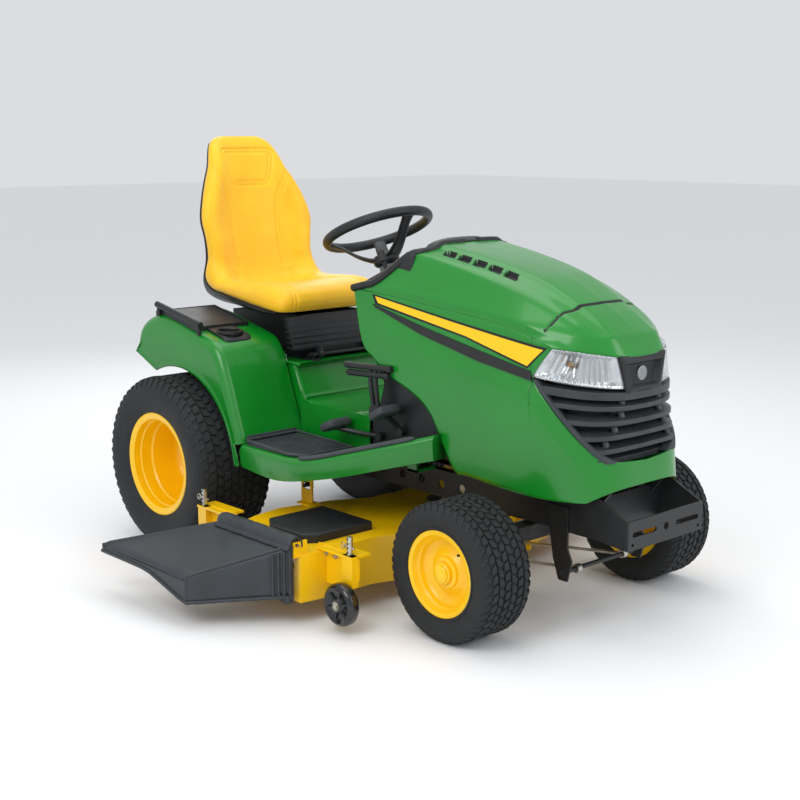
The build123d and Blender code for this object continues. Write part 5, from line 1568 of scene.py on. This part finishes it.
# two grips as (height, rear end, front end), and two stalks as (x at the grip, x at the foot)
sideLever = {"y": -264, "grips": ((690, 640, 838), (667, 650, 826)), "gripR": 10.5, "gripRise": 9,
             "stalks": ((748, 764), (772, 786)), "stalkR": 7.5, "pinX": 770, "pinZ": 556, "pinR": 8,
             "bossR": 22}


def makeSideLever():
    shape = newShape()
    y, pinX, pinZ, rise = sideLever["y"], sideLever["pinX"], sideLever["pinZ"], sideLever["gripRise"]
    for z, start, end in sideLever["grips"]:
        path = [(start, y, z), (start + 5, y, z), (end - 5, y, z + rise), (end, y, z + rise)]
        addTube(shape, smoothPath(path, 5), sideLever["gripR"], 16)
        for x in (start, end):
            addPad(shape, (x, y, z + rise * (x == end)), (20, 20, 20))
    for top, foot in sideLever["stalks"]:
        path = smoothPath([(top, y, 690), (top + 2, y, 640), (foot, y, pinZ + 1)], 6)
        addTube(shape, path, sideLever["stalkR"], 12)
    addTube(shape, [(pinX, y - 8, pinZ), (pinX, y + 14, pinZ)], sideLever["bossR"], 28)
    addTube(shape, [(pinX, y + 2, pinZ), (pinX, y + 51, pinZ)], sideLever["pinR"], 16, 1)
    makePiece("side_lever_grips", shape, "side_lever", [finish["blackPlastic"], finish["platedSteel"]],
              ["side_lever"], sharp=45)


makeSideLever()
print("controls made")


# ---- discharge chute and gauge wheels

chute = {"pinY": -712, "pinZ": 246, "innerY": -723, "outerY": -965, "innerZ": 242, "outerZ": 154,
         "hingeR": 27,
         "inner": (572, 928), "outer": (268, 735), "thick": 5, "borderRise": 7, "border": 9,
         "wallZ": (92, 79),
         "edgeDrop": 9, "lipTall": [(0, 13), (.5, 14), (.6, 20), (1, 70)], "backLip": 14, "folds": 4,
         "foldStep": 13}


def chuteSpot(share, t, lift=0):
    # share from the rear edge to the front edge, t from the deck out
    x = between((between(chute["inner"], share), between(chute["outer"], share)), t)
    y = between((chute["innerY"], chute["outerY"]), t)
    return (x, y, between((chute["innerZ"], chute["outerZ"]), t) + lift)


def lipFoot(share, down=1):
    # down the lip along the outer edge, 1 at its foot
    x, y, z = chuteSpot(share, 1, -chute["edgeDrop"])
    return (x, y, z - blendValue(share, chute["lipTall"]) * down)


def makeChute():
    shape = newShape()
    rows = []
    for i in range(41):
        t = i / 40
        row = []
        for j in range(61):
            share = j / 60
            edge = min(share, 1 - share) * 400
            # raised border lips along both sides and a shallow tray between
            lift = chute["borderRise"] * max(0, 1 - abs(edge - 7) / chute["border"])
            lift += 3 * math.sin(math.pi * share) * t - chute["edgeDrop"] * max(0, (t - .94) / .06) ** 2
            row.append(chuteSpot(share, t, lift))
        rows.append(row)
    addGrid(shape, rows)
    # front wall, lower at the outer end
    wall = []
    for i in range(25):
        t = i / 24
        x, y, z = chuteSpot(1, t)
        low = between(chute["wallZ"], t)
        wall.append([(x + 3 * (k == 0), y, z + (low - z) * k / 8) for k in range(9)])
    addGrid(shape, wall)
    # lip along the outer edge, tall at the front corner
    addGrid(shape, [[lipFoot(j / 40, k / 6) for k in range(7)] for j in range(41)])
    # lip along the rear edge
    addGrid(shape, [[chuteSpot(0, i / 24, -chute["backLip"] * k / 3) for k in range(4)] for i in range(25)])
    # half-round cover over the hinge pin
    cover = []
    for j in range(31):
        x = 568 + 364 * j / 30
        r = chute["hingeR"] - 3 * (j % 6 == 0)
        arc = [(x, chute["pinY"] - r * math.cos(math.pi * k / 14),
                chute["pinZ"] + r * math.sin(math.pi * k / 14))
               for k in range(15)]
        cover.append([(x, chute["pinY"] + r, chute["pinZ"] - 10)] + arc[::-1] + [(x, chute["innerY"] - r,
                                                                                  238)])
    addGrid(shape, cover)
    makePiece("chute_shell", shape, "chute", [finish["slatePlastic"]],
              ["discharge_chute"], sharp=42,
              thick=chute["thick"])
    trim = newShape()
    # rolled flange round the front wall and the outer lip
    path = []
    for i in range(13):
        x, y, _ = chuteSpot(1, i / 12)
        path.append((x, y, between(chute["wallZ"], i / 12)))
    addTube(trim, path + [lipFoot(j / 12) for j in range(11, -1, -1)], 6, 10)
    # ribs of the folded end at the deck, and the foot below
    for k in range(chute["folds"]):
        y = chute["innerY"] - 8 - chute["foldStep"] * k
        t = (y - chute["innerY"]) / (chute["outerY"] - chute["innerY"])
        x, _, z = chuteSpot(1, t)
        addTube(trim, [(x + 3, y, 96), (x + 3, y, z - 4)], 5, 10)
    addPad(trim, (912, -735, 84), (40, 24, 26))
    # pin through the ears, with its spring
    addTube(trim, [(556, chute["pinY"], chute["pinZ"]), (944, chute["pinY"], chute["pinZ"])], 5, 12, 1)
    coil = []
    for n in range(97):
        a = 2 * math.pi * n / 12
        coil.append((596 + n * .8, chute["pinY"] + 9 * math.cos(a), chute["pinZ"] + 9 * math.sin(a)))
    addTube(trim, coil, 1.6, 6, 1)
    makePiece("chute_trim", trim, "chute", [finish["slatePlastic"], finish["platedSteel"]],
              sharp=45)


makeChute()

gauge = {"radius": 64, "half": 22, "middle": 652, "height": 86, "frontX": 1062, "rearX": 330, "stemY": 619,
         "stemTop": 281, "stemR": 9, "holes": range(236, 276, 13), "pinZ": 250, "ribs": 6,
         "plate": [(905, 228), (1080, 228), (1086, 222), (1086, 150), (1014, 118), (905, 110)]}


def mirroredX(x):
    # the same place on the rear brackets as x on the front ones
    return gauge["frontX"] + gauge["rearX"] - x


def makeGaugeWheels():
    r, half = gauge["radius"], gauge["half"]
    tread = [(-half, 17), (-half + 3, 21), (-half + 7, 40), (-half + 4, 47), (-half + 1, 52),
             (-half + 3, r - 7),
             (-half + 10, r - 1), (-6, r), (6, r), (half - 10, r - 1), (half - 3, r - 7), (half - 1, 52),
             (half - 4, 47),
             (half - 9, 41), (half - 10, 25), (half - 1, 20), (half, 17), (half, 9), (-half, 9)]
    for name, x, side in (("front_right", gauge["frontX"], -1), ("front_left", gauge["frontX"], 1),
                          ("rear_right", gauge["rearX"], -1), ("rear_left", gauge["rearX"], 1)):
        shape = newShape()
        centre = (x, side * gauge["middle"], gauge["height"])
        addTurned(shape, tread, centre, "y", 72, 0, side)
        for n in range(gauge["ribs"]):
            # ribs between the recesses of the disc
            a = 2 * math.pi * n / gauge["ribs"] + .3
            y = side * (gauge["middle"] + half - 8)
            path = [(x + out * math.cos(a), y, gauge["height"] + out * math.sin(a)) for out in (20, 46)]
            addTube(shape, path, 4.5, 8)
        makePiece("gauge_roller_" + name, shape, "gauge_" + name, [finish["glossBlack"]],
                  ["gauge_wheel_" + name], sharp=40)
    holders = newShape()
    for x, side in ((gauge["frontX"], -1), (gauge["frontX"], 1), (gauge["rearX"], -1), (gauge["rearX"], 1)):
        y = side * gauge["stemY"]
        stem = gauge["stemR"]
        addTube(holders, [(x, y, 74), (x, y, 80), (x, y, gauge["stemTop"])], [stem - 2, stem, stem], 18, 1)
        # adjusting holes, drawn as thin black discs of painted shade, with the pin and its ring
        for z in gauge["holes"]:
            addTurned(holders, [(-.6, .01), (-.6, 3.4), (.6, 3.4), (.6, .01)], (x, y + side * stem, z),
                      "y", 14, 2)
        pinZ = gauge["pinZ"]
        addTube(holders, [(x - 26, y, pinZ), (x + 22, y, pinZ)], 3.2, 10, 1)
        turns = [2 * math.pi * k / 20 for k in range(21)]
        addTube(holders, [(x - 30 + 9 * math.cos(a), y, pinZ + 9 * math.sin(a)) for a in turns], 1.6, 6, 1)
        # axle pin with its washer and nut
        axle = [(x, y - side * 10, gauge["height"]), (x, side * (gauge["middle"] + 23), gauge["height"])]
        addTube(holders, axle, 8, 16, 1)
        addBolt(holders, (x, side * (gauge["middle"] + 22), gauge["height"]), "y", 10, side, 1)
        ahead = x == gauge["frontX"]
        plate = gauge["plate"] if ahead else [(mirroredX(px), pz) for px, pz in gauge["plate"]]
        addPrism(holders, plate, side * 602, side * 608)
        addPrism(holders, [(x - 22, 132), (x + 22, 132), (x + 22, 226), (x - 22, 226)], side * 606,
                 side * 630)
        reach = (927, x + 24) if ahead else (x - 24, mirroredX(927))
        addBlock(holders, reach, sorted((side * 560, side * 632)), (219, 226))
        for bx in (940, 985):
            addBolt(holders, (bx if ahead else mirroredX(bx), side * 608, 205), "y", 8, side, 1)
    makePiece("gauge_holders", holders, "deck", [finish["yellowEnamel"], finish["platedSteel"],
                                                 finish["blackAndPaintedShade"]],
              ["gauge_wheel_brackets"], sharp=35, bevel=1)


makeGaugeWheels()
print("chute and gauge wheels made")
